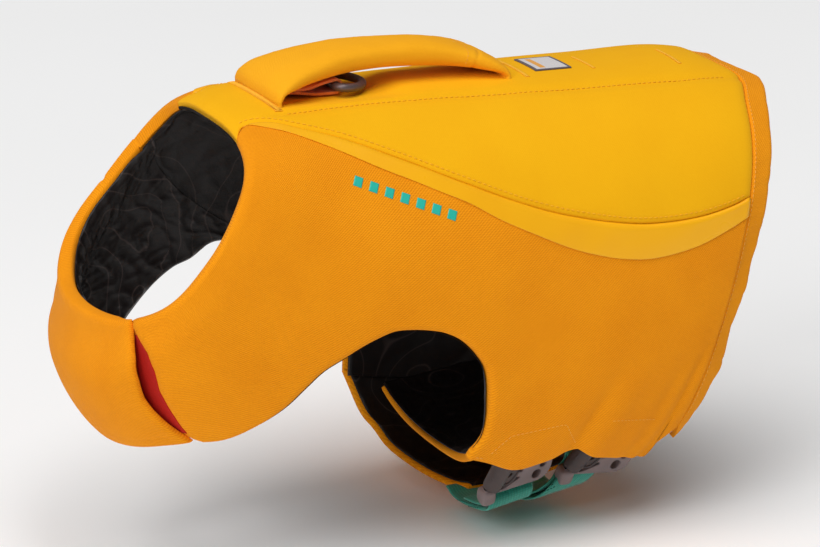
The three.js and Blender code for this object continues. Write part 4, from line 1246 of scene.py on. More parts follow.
@dataclass
class RightSide:
    """Right side, sewn to the chest wrap in front."""

    columns: int = 130
    lines: int = 44
    edge_radius: float = 4.0
    edge_drop: float = 2.4

    def patch(self, lines: Sequence[float] = EDGE_LINES, count: int | None = None, columns: np.ndarray | None = None,
              end_lines: Sequence[float] | None = None) -> Patch:
        """Grid of the panel."""
        if columns is None:
            columns = spaced(0.02, 22, self.columns)
        return patch_between(line_through(RIGHT_INNER), line_through(RIGHT_OUTER, RIGHT_CORNERS), columns, lines,
                             count or self.lines, -1, None, end_lines)

    def upper(self, p: Patch) -> np.ndarray:
        """Depth of the outer cloth."""
        front = 1 - smooth((p.k - 3.7) / 0.6)
        ends = drop(p.end, self.edge_radius, self.edge_drop) * front + drop(p.end, 3.2, 2.2) * (1 - front)
        ends = np.maximum(ends, neck_drop(p.u, p.v))
        edge = np.maximum(ends, drop(p.start, self.edge_radius, self.edge_drop))
        edge = np.maximum(edge, np.maximum(drop(p.first, 5, 0.5), drop(p.last, 5, 1.3)))
        return edge + 0.5 * waves(*p.flat(), 90, 5) * smooth(np.minimum(p.start, p.end) / 12)

    def lower(self, p: Patch) -> np.ndarray:
        """Depth of the inner face of the foam."""
        thin = smooth((-p.v - 108) / 22)
        thick = pad(p.v) * (1 - thin) + 6 * thin
        edge = np.maximum(drop(p.start, 4, 2.0 * (1 - 0.5 * thin)), np.where(p.k < 4, drop(p.end, 4, 2.0), 0))
        return thick - np.maximum(edge, neck_rise(p.u, p.v))

    def build(self, looks: Wardrobe) -> bpy.types.Object:
        """Makes the padded side."""
        p = self.patch()
        free = (p.start < 0.5) | ((p.end < 0.5) & (p.k < 4))
        item = slab("side_right_padded", p.at(self.upper(p)), p.at(self.lower(p)), p.uv(), 0.8 * free)
        return dress(item, looks.orange, nodes=["side_right"])


@dataclass
class BackPanel:
    """Yellow back with two sewn channels along the spine."""

    rows: int = 150
    lines: int = 110

    def patch(self, rows: np.ndarray | None = None, reach: float = 0.9985, count: int | None = None) -> Patch:
        """Grid of the panel, from the left seam to the right seam."""
        if rows is None:
            rows = spaced(0.02, 11.98, self.rows, (0.01, 0.03, 0.07, 0.13, 0.22))
        seam = line_through(SEAM)(rows)
        count = count or self.lines
        even = np.linspace(-1, 1, count)
        share = np.sin(np.pi / 2 * even)
        share = (0.62 * even + 0.38 * share) * reach
        v = -seam[:, 1:] * share[None, :]
        centre = BACK_REAR_U * (np.maximum(rows, 0) / 12) ** 0.92
        u = seam[:, :1] * share[None, :] ** 2 + centre[:, None] * (1 - share[None, :] ** 2)
        u = u + rear_reach(v) * smooth((rows - 9) / 3)[:, None]
        return Patch.measured(u, v, rows, 0.05)

    def upper(self, p: Patch) -> np.ndarray:
        """Depth of the outer cloth."""
        channel = 1.0 * np.exp(-(((np.abs(p.v) - channel_angle(p.u)) / 1.4) ** 2)) * smooth((p.u - 0.9) / 0.5)
        at = body(p.u, p.v)
        hollow = HOLLOW * np.exp(-(((at[..., 0] - HOLLOW_X) / 31) ** 6) - (at[..., 1] / 25) ** 6)
        edge = np.maximum(drop(p.start, 6, 1.5), drop(p.end, 6, 1.5))
        edge = np.maximum(edge, np.maximum(neck_drop(p.u, p.v), drop(p.last, 7, 2.2)))
        soft = 0.45 * waves(*p.flat(1.4), 80, 11) * smooth(np.minimum(p.start, p.end) / 10)
        return edge + np.maximum(channel, hollow) + soft

    def lower(self, p: Patch) -> np.ndarray:
        """Depth of the inner face of the foam."""
        return pad(p.v) - neck_rise(p.u, p.v)

    def build(self, looks: Wardrobe) -> bpy.types.Object:
        """Makes the padded back."""
        p = self.patch()
        item = slab("back_padded", p.at(self.upper(p)), p.at(self.lower(p)), p.uv())
        return dress(item, looks.yellow, nodes=["back_panel"])


@dataclass
class ChestWrap:
    """Orange wrap from the right seam round the chest to its open lip on the left."""

    columns: int = 130
    lines: int = 34

    def bend(self, u: np.ndarray, v: np.ndarray, f: np.ndarray, columns: np.ndarray) -> tuple:
        """Brings the last columns to the lip."""
        w = smooth((columns - 10) / 3)[:, None]
        return u, v + w * (-360 + lip_angle(u) - (-229 + 13 * (u + 0.14) / 2.31))

    def patch(self, lines: Sequence[float] = EDGE_LINES, count: int | None = None, columns: np.ndarray | None = None,
              end_lines: Sequence[float] | None = None) -> Patch:
        """Grid of the wrap."""
        if columns is None:
            columns = spaced(0.02, 13, self.columns)
        return patch_between(line_through(CHEST_INNER), line_through(CHEST_OUTER), columns, lines, count or self.lines,
                             1, self.bend, end_lines)

    def upper(self, p: Patch) -> np.ndarray:
        """Depth of the outer cloth."""
        edge = np.maximum(drop(p.end, 4, 2.4), drop(p.start, 4, 2.4))
        edge = np.maximum(edge, np.maximum(drop(p.first, 5, 0.5), drop(p.last, 4, 1.6)))
        seam = 1.5 * np.exp(-((np.abs(p.v + 84.5 + 3 * p.u) / 1.1) ** 1.5))
        pull = 0.9 * np.exp(-(((p.v + 102) / 4.0) ** 2)) + 0.7 * np.exp(-(((p.v + 138) / 5.0) ** 2))
        soft = 0.5 * waves(*p.flat(1.3), 70, 17) + pull
        return edge + seam + soft * smooth(np.minimum(p.last, np.minimum(p.start, p.end)) / 12)

    def lower(self, p: Patch) -> np.ndarray:
        """Depth of the inner face of the foam."""
        lip = 5.7 * (1 - smooth(p.last / 16))
        free = 1 - smooth(1 - p.last / 16)
        return CHEST_PAD - lip - np.maximum(drop(p.end, 4, 2.0), drop(p.start, 4, 2.0)) * free

    def build(self, looks: Wardrobe) -> bpy.types.Object:
        """Makes the padded wrap."""
        p = self.patch()
        open_edge = (p.start < 0.5) | (p.end < 0.5) | (p.last < 0.5)
        item = slab("chest_wrap_padded", p.at(self.upper(p)), p.at(self.lower(p)), p.uv(), 0.7 * open_edge)
        return dress(item, looks.orange, nodes=["chest_wrap"])


@dataclass
class RearBand:
    """Edge band along the rear, gathered a little on its way round."""

    columns: int = 260
    lines: int = 18

    def seam(self, v: np.ndarray) -> np.ndarray:
        """Ring number of the seam to the panels at angle v."""
        a = np.abs(v)
        table = np.asarray(REAR_SEAM)
        side = np.clip(a / 62, 0, 1)
        top = 7.53 * side**2 + BACK_REAR_U * (1 - side**2) + rear_reach(v)
        return np.where(a < 62, top, np.interp(a, table[:, 1], table[:, 0])) + 0.004

    def patch(self) -> Patch:
        """Grid of the band."""
        at = np.linspace(-138, 138, self.columns)
        edge = np.asarray(BAND_EDGE)
        share = np.unique(np.concatenate([[0, 0.012, 0.035, 0.07], np.linspace(0.1, 0.9, self.lines), [0.94, 0.965, 0.985, 1]]))
        tip = 9 * smooth((np.abs(at) - 118) / 20) * np.sign(at)
        u0 = self.seam(at)[:, None]
        u = u0 + (np.interp(np.abs(at + tip), edge[:, 0], edge[:, 1])[:, None] - u0) * share[None, :]
        v = at[:, None] + tip[:, None] * share[None, :]
        return Patch.measured(u, v, at, 0.1)

    def upper(self, p: Patch) -> np.ndarray:
        """Depth of the outer cloth."""
        width = p.start + p.end - 0.2
        base = 1.3 + 0.9 * p.start / width + drop(p.end, 3.0, 1.8) + drop(p.start, 2.2, 1.3)
        thin = smooth((np.abs(p.v) - 105) / 25)
        gather = 0.7 * waves(p.v * 1.5, p.start * 0.6, 26, 23, 4) + 1.1 * creases(p.v * 1.5, p.start * 0.4, 30, 27)
        gather = gather * smooth(p.start / 5) * smooth((np.abs(p.v) - 30) / 30)
        return base * (1 - 0.75 * thin) + gather

    def build(self, looks: Wardrobe) -> bpy.types.Object:
        """Makes the band."""
        p = self.patch()
        thin = smooth((np.abs(p.v) - 105) / 25)
        top = self.upper(p)
        share = smooth(p.start / (p.start + p.end))
        under = pad(p.v) * 0.92 * (1 - share) + 8.6 * share - drop(p.end, 3, 1.6)
        under = under * (1 - thin) + (top + 2.6) * thin
        item = slab("rear_band_padded", p.at(top), p.at(under), p.uv())
        return dress(item, looks.band, nodes=["rear_band"])


@dataclass
class RightFlap:
    """Outer belly flap, which carries on from the right side."""

    rows: int = 80
    lines: int = 50

    def patch(self, first: float = 0.0, inset: Sequence[float] = EDGE_LINES) -> Patch:
        """Grid of the flap, row by row."""
        rows = spaced(first, 8, self.rows)
        front = line_through(FAR_FRONT)(rows)
        start = np.stack([front[:, 1], front[:, 0]], 1)
        rear = 7.28 - 0.5 * smooth((-front[:, 0] - 133) / 32)
        end = np.stack([rear, front[:, 0]], 1)
        return patch_between(lambda k: start.copy(), lambda k: end.copy(), rows, inset, self.lines)

    def upper(self, p: Patch) -> np.ndarray:
        """Depth of the outer cloth."""
        edge = np.maximum(np.maximum(drop(p.start, 3, 2.0), drop(p.end, 3, 2.0)), drop(p.last, 3, 1.8))
        return edge + 0.35 * waves(*p.flat(), 40, 31) * smooth(p.start / 8) * smooth(p.first / 10)

    def lower(self, p: Patch) -> np.ndarray:
        """Depth of the inner face."""
        edge = np.maximum(np.maximum(drop(p.start, 3, 1.6), drop(p.end, 3, 1.6)), drop(p.last, 3, 1.4))
        return 5.2 - 1.4 * smooth(p.k / 6) - edge

    def build(self, looks: Wardrobe) -> list[bpy.types.Object]:
        """Makes the flap and its lining."""
        p = self.patch()
        item = slab("belly_flap_right_padded", p.at(self.upper(p)), p.at(self.lower(p)), p.uv())
        dress(item, looks.orange, nodes=["belly_flap_right"])
        q = self.patch(0.15, (1.9, 2.4, 3.2, 4.5))
        ripple = 0.9 * creases(q.u * 44, q.v * 1.5, 26, 41) + 0.9 * np.exp(-q.start / 5) * (0.5 + 0.5 * np.sin(q.first / 2.6))
        ripple = ripple * smooth((q.start - 1.5) / 2) * smooth(q.last / 3)
        depth = self.lower(q) + 0.35 + ripple * 0.9
        lining = slab("lining_flap_right_cloth", q.at(depth), q.at(depth + 0.4), q.uv())
        dress(lining, looks.lining, nodes=["lining_flap_right"])
        return [item, lining]


@dataclass
class LeftFlap:
    """Inner belly flap, which hangs slack from the left side across the belly."""

    rows: int = 90
    lines: int = 60
    half: float = 1.9

    def grid(self, inset: float) -> tuple[np.ndarray, np.ndarray, np.ndarray, np.ndarray]:
        """Middle surface of the flap, its normals and the distances from its free edges."""
        k = np.linspace(0, 8, self.rows)
        front, middle, rear = (line_through(t)(k) for t in (FLAP_FRONT, FLAP_MIDDLE, FLAP_REAR))
        start = inset / 105
        f = np.concatenate([start + np.array([0, 0.002, 0.006, 0.012, 0.02, 0.03, 0.042, 0.056]),
                            np.linspace(0.075, 0.93, self.lines) + start * 0.2, [0.96, 0.98, 0.99, 0.996, 1.0 - start]])
        g = f[None, :, None]
        points = np.where(g < 0.1, front[:, None] + (middle - front)[:, None] * (g / 0.1),
                          middle[:, None] + (rear - middle)[:, None] * ((g - 0.1) / 0.9))
        run = unit(np.gradient(middle, axis=0))
        normal = np.stack([np.zeros(len(k)), run[:, 2], -run[:, 1]], 1)
        along = np.broadcast_to(normal[:, None], points.shape)
        near = np.minimum(f, 1 - f)[None, :] * 105
        tip = ((8 - k) / 8 * 128)[:, None]
        return points, along, np.broadcast_to(near, points.shape[:2]), np.broadcast_to(tip, points.shape[:2])

    def build(self, looks: Wardrobe) -> list[bpy.types.Object]:
        """Makes the flap and its lining."""
        points, normal, near, tip = self.grid(0)
        edge = np.minimum(np.clip(near, 0, 3), np.clip(tip, 0, 3)) / 3
        half = self.half * np.sqrt(1 - (1 - edge) ** 2) * 0.96 + 0.08
        sag = 0.5 * waves(points[..., 0], points[..., 1], 45, 53) * edge
        uv = points[..., :2]
        up = points + normal * (sag - half)[..., None]
        down = points + normal * (sag + half)[..., None]
        item = slab("belly_flap_left_padded", up, down, uv)
        dress(item, looks.orange, nodes=["belly_flap_left"])
        points, normal, near, tip = self.grid(2.0)
        free = smooth((near - 1.6) / 3)
        ripple = 0.9 * creases(points[..., 0], points[..., 1], 24, 61)
        ripple = ripple + 0.8 * np.exp(-near / 6) * (0.5 + 0.5 * np.sin(points[..., 1] / 2.2))
        sag = 0.5 * waves(points[..., 0], points[..., 1], 45, 53)
        lift = -(self.half + 0.3 + ripple * free) + sag
        lining = slab("lining_flap_left_cloth", points + normal * lift[..., None],
                      points + normal * (lift - 0.4)[..., None], points[..., :2])
        dress(lining, looks.lining, nodes=["lining_flap_left"])
        return [item, lining]


@dataclass
class Lining:
    """Thin dark cloth inside one padded panel, wrinkled, and turned out over the edges that are named."""

    name: str
    node: str
    panel: object
    columns: np.ndarray
    seed: int
    flat: tuple
    area: float | None = None
    start_wrap: bool = True
    end_wrap: bool = False
    wrinkle: float = 1.3
    rim: float = 1.3
    turned: float = 0.5
    lap_end: float = -9.0

    def lines(self, wrapped: bool) -> tuple:
        """Distances of the close lines from an edge."""
        if wrapped:
            return (-self.rim, -self.rim + 0.02, -0.5, 0.3, 1.2, 2.2, 3.4, 5.0, 7.0)
        return (1.4, 2.0, 3.0, 4.2, 5.6, 7.2)

    def build(self, looks: Wardrobe) -> bpy.types.Object:
        """Makes the lining."""
        p = self.panel.patch(self.lines(self.start_wrap), 40, self.columns, self.lines(self.end_wrap))
        a, b = p.flat()
        edge = np.minimum(p.start, p.end)
        ripple = creases(a, b, 34, self.seed) + 0.35 * (waves(a, b, 60, self.seed + 3) + 1)
        gathers = np.exp(-np.clip(edge, 0, None) / 7) * (0.5 + 0.5 * np.sin(a / 3.1 + 2 * waves(a, b, 50, self.seed + 5)))
        fade = smooth((edge - 0.5) / 4)
        base = self.panel.lower(p)
        out = self.panel.upper(p)
        middle = out + (base - out) * self.turned
        depth = base + 0.35 + self.wrinkle * (ripple + 0.5 * gathers) * fade
        for wrapped, distance in ((self.start_wrap, p.start), (self.end_wrap, p.end)):
            if wrapped:
                share = smooth((distance + self.rim) / (self.rim + 0.35))
                depth = middle * (1 - share) + depth * share
        depth = depth + 1.2 * (1 - smooth((p.k - self.lap_end + 0.4) / 0.8))
        item = slab(self.name, p.at(depth), p.at(depth + 0.45), p.uv())
        return dress(item, looks.lining, nodes=[self.node])


@dataclass
class BackLining:
    """Dark cloth inside the back, which shows at the neck."""

    def build(self, looks: Wardrobe, back: BackPanel) -> bpy.types.Object:
        """Makes the lining."""
        p = back.patch(spaced(0.05, 11.9, 90, (0.03, 0.08, 0.15)), 0.97, 70)
        a, b = p.flat()
        ripple = creases(a, b, 30, 71) + 0.35 * (waves(a, b, 55, 73) + 1)
        gathers = np.exp(-p.first / 8) * (0.5 + 0.5 * np.sin(b / 2.4))
        depth = back.lower(p) + 0.4 + 1.2 * (ripple + gathers) * smooth(p.first / 3)
        item = slab("lining_back_cloth", p.at(depth), p.at(depth + 0.45), p.uv())
        return dress(item, looks.lining, nodes=["lining_back"])


@dataclass
class SleeveShade:
    """Deep red sheet laid where the left side dives into the chest wrap: painted shade for the dark, reddened orange
    inside the sleeve.
    """

    rows: int = 56
    lines: int = 16

    def build(self, looks: Wardrobe, ground: Ground) -> bpy.types.Object:
        """Makes the painted shade sheet on the finished side."""
        u = np.linspace(0.12, 2.04, self.rows)
        lip = lip_angle(u)
        reach = LeftSide.reach(u)
        share = np.linspace(0, 1, self.lines)
        v = (lip - 0.78 * reach)[:, None] + (0.78 * reach + 3)[:, None] * share[None, :]
        uu = np.broadcast_to(u[:, None], v.shape)
        hits, ups = ground.below(body(uu.ravel(), v.ravel()), outward(uu.ravel(), v.ravel()), 4)
        hits, ups = hits.reshape(*v.shape, 3), ups.reshape(*v.shape, 3)
        uv = np.stack([uu * UV_MM_PER_RING, v * UV_MM_PER_DEGREE], -1)
        # Painted shade: a thin deep red sheet over the tongue where it dives under the lip.
        item = slab("sleeve_facing", hits + ups * 0.3, hits + ups * 0.02, uv)
        return dress(item, looks.facing)


@dataclass
class Trim:
    """Film coated strip on the side, just below the back seam."""

    name: str
    node: str
    under: str
    sign: int
    columns: int = 190
    lines: int = 17

    def build(self, looks: Wardrobe, ground: Ground) -> bpy.types.Object:
        """Makes the strip on the finished side."""
        u = np.linspace(*TRIM_U, self.columns)
        seam = line_through(SEAM)(np.linspace(0, len(SEAM) - 1, 400))
        edge = line_through(TRIM_EDGE)(np.linspace(0, len(TRIM_EDGE) - 1, 400))
        near = np.interp(u, seam[:, 0], seam[:, 1]) + 0.12
        far = np.interp(u, edge[:, 0], edge[:, 1])
        share = np.concatenate([[0, 0.02], np.linspace(0.06, 0.94, self.lines), [0.98, 1.0]])
        v = (near[:, None] + (far - near)[:, None] * share[None, :]) * self.sign
        uu = np.broadcast_to(u[:, None], v.shape)
        flat_u, flat_v = uu.ravel(), v.ravel()
        hits, ups = ground.below(body(flat_u, flat_v), outward(flat_u, flat_v), 8)
        hits, ups = hits.reshape(*v.shape, 3), ups.reshape(*v.shape, 3)
        ease = 0.12 * (1 + waves(uu * 44, v * 1.5, 16, 83))[..., None]
        uv = np.stack([uu * UV_MM_PER_RING, v * UV_MM_PER_DEGREE], -1)
        item = slab(self.name, hits + ups * (0.42 + ease), hits + ups * (0.03 + ease), uv)
        return dress(item, looks.trim, nodes=[self.node])


# Fittings


@dataclass
class Handle:
    """Padded grab handle over the spine."""

    sections: int = 150
    sides: int = 56

    def rings(self) -> tuple[np.ndarray, np.ndarray]:
        """Sections of the handle and their flat coordinates."""
        k = np.linspace(0, len(HANDLE_LINE) - 1, self.sections)
        x, z, width, thick, slope = np.moveaxis(line_through(HANDLE_LINE)(k), -1, 0)
        a = np.radians(slope)[:, None]
        t = 2 * np.pi * (np.arange(self.sides)[None, :] + 0.5) / self.sides
        c, s = np.cos(t), np.sin(t)
        run = np.concatenate([[0], np.cumsum(np.hypot(np.diff(x), np.diff(z)))])[:, None]
        y = width[:, None] / 2 * np.sign(c) * np.abs(c) ** 0.7
        crown = 0.35 * waves(run + 0 * y, y, 24, 91) + 0.25 * creases(run + 0 * y, y * 1.5, 20, 93)
        ends = smooth(run / 8) * smooth((run[-1] - run) / 8)
        seam = 0.8 * np.exp(-(((run - 118 + 0.012 * y * y) / 1.0) ** 2))
        h = thick[:, None] / 2 * np.sign(s) * np.abs(s) ** 0.8
        grow = (crown - seam) * ends * np.where(s > -0.6, 1, 0.3)
        h = h + np.sign(s) * grow * np.abs(s) ** 0.4
        y = y * (1 - 0.02 * (seam > 0.4))
        points = np.stack([x[:, None] - np.sin(a) * h, y, z[:, None] + np.cos(a) * h], -1)
        return points, np.stack([run + 0 * y, (t * 14) + 0 * y], -1)

    def build(self, looks: Wardrobe, ground: Ground) -> bpy.types.Object:
        """Makes the handle, with its ends on the back."""
        rings, uv = self.rings()
        up = np.array([0, 0, 1.0])
        for row in (0, -1):
            hits, _ = ground.below(rings[row], np.broadcast_to(up, rings[row].shape), 20)
            rings[row][:, 2] = hits[:, 2] - 0.15
        item = tube("handle_padded", rings, uv)
        return dress(item, looks.handle, nodes=["handle"])


@dataclass
class LeashRing:
    """Dee ring bent from rod, and the webbing loop that holds it."""

    bar_x: float = -84.0
    bar_z: float = 21.704
    rod: float = 2.1
    tilt: float = -6.0
    base_z: float = 17.854
    hole: float = 2.55
    web: float = 1.3
    width: float = 25.0

    OUTLINE = (
        (0, -12), (0, -6), (0, 0), (0, 6), (0, 12), (1.0, 14.6), (3.2, 16), (7, 15.6), (11.5, 13.2), (15.4, 9),
        (17.6, 4.2), (18.2, 0), (17.6, -4.2), (15.4, -9), (11.5, -13.2), (7, -15.6), (3.2, -16), (1.0, -14.6),
    )

    def ring(self, looks: Wardrobe) -> bpy.types.Object:
        """Makes the ring."""
        table = [*self.OUTLINE[-2:], *self.OUTLINE, *self.OUTLINE[:3]]
        path = line_through(table)(np.linspace(2, 2 + len(self.OUTLINE), 150, endpoint=False))
        run = unit(np.roll(path, -1, 0) - np.roll(path, 1, 0))
        side = np.stack([run[:, 1], -run[:, 0]], 1)
        t = np.arange(20) * 2 * np.pi / 20
        flat = path[:, None] + side[:, None] * (self.rod * np.cos(t))[None, :, None]
        height = np.broadcast_to(self.rod * np.sin(t), flat.shape[:2])
        a = math.radians(self.tilt)
        x = self.bar_x + flat[..., 0] * math.cos(a) - height * math.sin(a)
        z = self.bar_z + flat[..., 0] * math.sin(a) + height * math.cos(a)
        item = tube("leash_ring_rod", np.stack([x, flat[..., 1], z], -1), endless=True)
        return dress(item, looks.ring, Body.RING, ["leash_ring"])

    def loop(self, looks: Wardrobe) -> bpy.types.Object:
        """Makes the webbing loop, creased where it leaves the handle's base."""
        turns = np.radians(np.linspace(-90, 100, 26))
        r = self.hole + self.web / 2
        bend = np.stack([self.bar_x + r * np.cos(turns), self.bar_z + r * np.sin(turns)], 1)
        z = self.base_z
        low = line_through([(-116, z + 3.3), (-107, z + 2.9), (-101, z + 1.9), (-95, z + 0.95), (-89, z + 0.65),
                            (self.bar_x - 0.8, z + 0.65)])(np.linspace(0, 5, 40))
        high = line_through([(self.bar_x - 4, self.bar_z + 2.7), (-93, z + 5.6), (-98, z + 4.5),
                             (-107, z + 4.2), (-116, z + 4.3)])(np.linspace(0, 4, 30))
        path = resampled(np.concatenate([low, bend, high]), 0.7)
        run = unit(np.gradient(path, axis=0))
        normal = np.stack([-run[:, 1], run[:, 0]], 1)
        y = np.linspace(-self.width / 2, self.width / 2, 42)
        length = np.concatenate([[0], np.cumsum(np.linalg.norm(np.diff(path, axis=0), axis=1))])
        pleat = 0.55 * np.sin(y * 0.85 + 0.6)[None, :] * smooth((self.bar_x - 5 - path[:, :1]) / 9)
        pleat = pleat * np.where(np.arange(len(path)) > 45, 1, 0.25)[:, None]
        layers = []
        for off in (self.web / 2, -self.web / 2):
            lift = (pleat + off)[..., None]
            xz = path[:, None] + normal[:, None] * lift
            layers.append(np.stack([xz[..., 0], np.broadcast_to(y, xz.shape[:2]), xz[..., 1]], -1))
        uv = np.stack(np.broadcast_arrays(length[:, None], y[None, :]), -1)
        item = slab("ring_loop_webbing", layers[0], layers[1], uv)
        return dress(item, looks.loop, nodes=["ring_loop"])


@dataclass
class Label:
    """Woven label across the spine, with no words."""

    x0: float = 24.0
    x1: float = 44.0
    y0: float = -13.0
    y1: float = 11.0

    def build(self, looks: Wardrobe, ground: Ground) -> bpy.types.Object:
        """Makes the label."""
        xs, ys = np.meshgrid(np.linspace(self.x0, self.x1, 26), np.linspace(self.y0, self.y1, 30), indexing="ij")
        flat = np.stack([xs, ys, 0 * xs + 20], -1).reshape(-1, 3)
        hits, ups = ground.below(flat, np.broadcast_to(np.array([0, 0, 1.0]), flat.shape), 20)
        shape = (*xs.shape, 3)
        hits, ups = hits.reshape(shape), ups.reshape(shape)
        uv = np.stack([xs - (self.x0 + self.x1) / 2, ys - (self.y0 + self.y1) / 2], -1)
        item = slab("woven_label", hits + ups * 0.75, hits + ups * 0.1, uv)
        return dress(item, looks.label, nodes=["label"])


@dataclass
class Buckle:
    """Side squeeze buckle, fastened. Its own frame: x along the jacket, y up, z outwards."""

    name: str
    node: str
    x: float
    z: float
    tilt: float = 10.0
    shift: tuple = (0.0, 0.0)
    thick: float = 5.5
    y: float = -45.0

    PLATE = ((-14, 6.6), (12.4, 5.6), (16, 7.4), (18.4, 11), (19.4, 15.5), (19.4, 31), (-8, 31), (-12, 18))
    CATCH = ((-15.5, 20), (-13.4, 16.6), (-9.8, 13.6), (-5.5, 13.2), (-2.6, 16.1), (0.4, 22), (0.4, 31), (-8, 31))
    RIDGE = ((-15.0, 18.4), (-12.8, 15.4), (-9.8, 13.4), (-5.7, 13.1), (-2.9, 15.6), (-0.4, 20))
    ARM = ((-14.6, 9.6), (-12.9, 13.6), (-10.9, 18.5), (-8.6, 24), (-6.4, 30))

    def place(self) -> Matrix:
        """Matrix from the buckle's frame to the jacket's."""
        a = math.radians(self.tilt)
        across = Vector((math.cos(a), 0, math.sin(a)))
        up = Vector((0, -0.45, 0.893))
        up = (up - across * up.dot(across)).normalized()
        out = across.cross(up)
        m = Matrix((across, up, out)).transposed().to_4x4()
        m.translation = Vector((self.x, self.y, self.z)) + across * self.shift[0] + up * self.shift[1]
        return m

    def plate(self, outlines: Sequence, z0: float, z1: float, bevel: float) -> bpy.types.Object:
        """Makes a plate with rounded edges from an outline and its holes."""
        curve = bpy.data.curves.new("outline", "CURVE")
        curve.dimensions = "2D"
        curve.fill_mode = "BOTH"
        for outline in outlines:
            spline = curve.splines.new("POLY")
            spline.points.add(len(outline) - 1)
            for point, (x, y) in zip(spline.points, outline):
                point.co = (x * MM, y * MM, 0, 1)
            spline.use_cyclic_u = True
        curve.extrude = ((z1 - z0) / 2 - bevel) * MM
        curve.bevel_depth = bevel * MM
        curve.bevel_resolution = 3
        curve.offset = -bevel * MM
        flat = bpy.data.objects.new("outline", curve)
        bpy.context.collection.objects.link(flat)
        mesh = bpy.data.meshes.new_from_object(flat.evaluated_get(bpy.context.evaluated_depsgraph_get()))
        bpy.data.objects.remove(flat)
        mesh.transform(Matrix.Translation((0, 0, (z0 + z1) / 2 * MM)))
        item = bpy.data.objects.new("plate", mesh)
        bpy.context.collection.objects.link(item)
        return item

    def barrel(self, x: float, y: float, z: float, size: tuple, power: float = 0.7) -> bpy.types.Object:
        """Makes a rounded block."""
        k = np.linspace(-np.pi / 2, np.pi / 2, 17)
        t = np.arange(28) * 2 * np.pi / 28
        c, s = bulged(np.cos(k), power)[:, None], bulged(np.sin(k), power)[:, None]
        shape = np.stack(np.broadcast_arrays(size[0] * c * bulged(np.cos(t), power), size[1] * s,
                                             size[2] * c * bulged(np.sin(t), power)), -1)
        return tube("block", shape[1:-1] + np.array([x, y, z]))

    def rod(self, table: Sequence, z: float, radius: tuple) -> bpy.types.Object:
        """Makes a rounded bar through points of the face."""
        path = line_through([(x, y, z) for x, y in table])(np.linspace(0, len(table) - 1, 30))
        run, side, up = frames_along(path, np.array([0, 0, 1.0]))
        t = np.arange(18) * 2 * np.pi / 18
        r = np.linspace(*radius, len(path))
        ends = np.sqrt(np.clip(1 - ((np.arange(len(path)) - 14.5) / 14.6) ** 12, 0.02, 1))
        r = (r * ends)[:, None, None]
        rings = path[:, None] + r * (side[:, None] * np.cos(t)[None, :, None] + up[:, None] * np.sin(t)[None, :, None])
        return tube("rod", rings)

    def slot(self, x0: float, y0: float, x1: float, y1: float, half: float) -> list[tuple[float, float]]:
        """Outline of a slot with round ends, from one centre to the other."""
        a = math.atan2(y1 - y0, x1 - x0)
        out = []
        for x, y, turn in ((x1, y1, -90), (x0, y0, 90)):
            for k in range(9):
                t = a + math.radians(turn + 22.5 * k)
                out.append((x + half * math.cos(t), y + half * math.sin(t)))
        return out

    def build(self, looks: Wardrobe) -> bpy.types.Object:
        """Makes the buckle."""
        face = self.thick / 2
        parts = [
            self.plate([softened(self.PLATE, 1.6), self.slot(-8.4, 8.9, 0.1, 12.9, 0.95), self.slot(10.6, 10.4, 10.9, 11.8, 2.3),
                        circle(14.0, 16.8, 1.7), self.slot(-7.2, 18.5, -5.4, 19.1, 1.3), circle(1.6, 18.0, 1.2)],
                       -face, face - 0.6, 0.7),
            self.plate([softened(self.CATCH, 1.2), self.slot(-7.2, 18.5, -5.4, 19.1, 1.3)], face - 1.0, face + 0.5, 0.5),
            self.barrel(-16.3, 5.8, 0.4, (4.2, 5.0, 4.4), 0.62),
            self.rod(self.ARM, 0.5, (4.7, 5.2)),
            self.rod(self.RIDGE, face + 0.4, (0.75, 0.75)),
            self.rod(((-12.0, 9.4), (-11.0, 7.8), (-10.6, 6.4)), 0.5, (1.7, 1.5)),
        ]
        for i, item in enumerate(parts):
            item.data.materials.clear()
            # The catch, arm and ridge take the darker copy: painted shade of the hem's shadow.
            item.data.materials.append(looks.plastic_dark if i in (1, 3, 4) else looks.plastic)
            if not item.data.uv_layers:
                item.data.uv_layers.new(name=CLOTH_UV)
        item = joined(parts, self.name)
        item.data.transform(Matrix.Translation(self.place().translation * MM) @ self.place().to_3x3().to_4x4())
        return dress(item, None, nodes=[self.node])


def bulged(values: np.ndarray, power: float) -> np.ndarray:
    """Values from -1 to 1, pushed out towards the ends."""
    return np.sign(values) * np.abs(values) ** power


def softened(corners: Sequence, r: float) -> list[tuple[float, float]]:
    """Outline of a polygon with its corners cut round."""
    out = []
    points = [Vector(c) for c in corners]
    for i, b in enumerate(points):
        a, c = points[i - 1], points[(i + 1) % len(points)]
        start, end = b + (a - b).normalized() * r, b + (c - b).normalized() * r
        for k in range(5):
            t = k / 4
            q = start * (1 - t) ** 2 + b * 2 * t * (1 - t) + end * t * t
            out.append((q.x, q.y))
    return out


def circle(x: float, y: float, r: float) -> list[tuple[float, float]]:
    """Outline of a circle."""
    return [(x + r * math.cos(math.radians(15 * k)), y + r * math.sin(math.radians(15 * k))) for k in range(24)]


def joined(parts: list[bpy.types.Object], name: str) -> bpy.types.Object:
    """Joins objects to one."""
    for item in bpy.context.selected_objects:
        item.select_set(False)
    for item in parts:
        item.select_set(True)
    bpy.context.view_layer.objects.active = parts[0]
    bpy.ops.object.join()
    made = bpy.context.view_layer.objects.active
    made.name = name
    made.select_set(False)
    made.data.polygons.foreach_set("use_smooth", [True] * len(made.data.polygons))
    return made


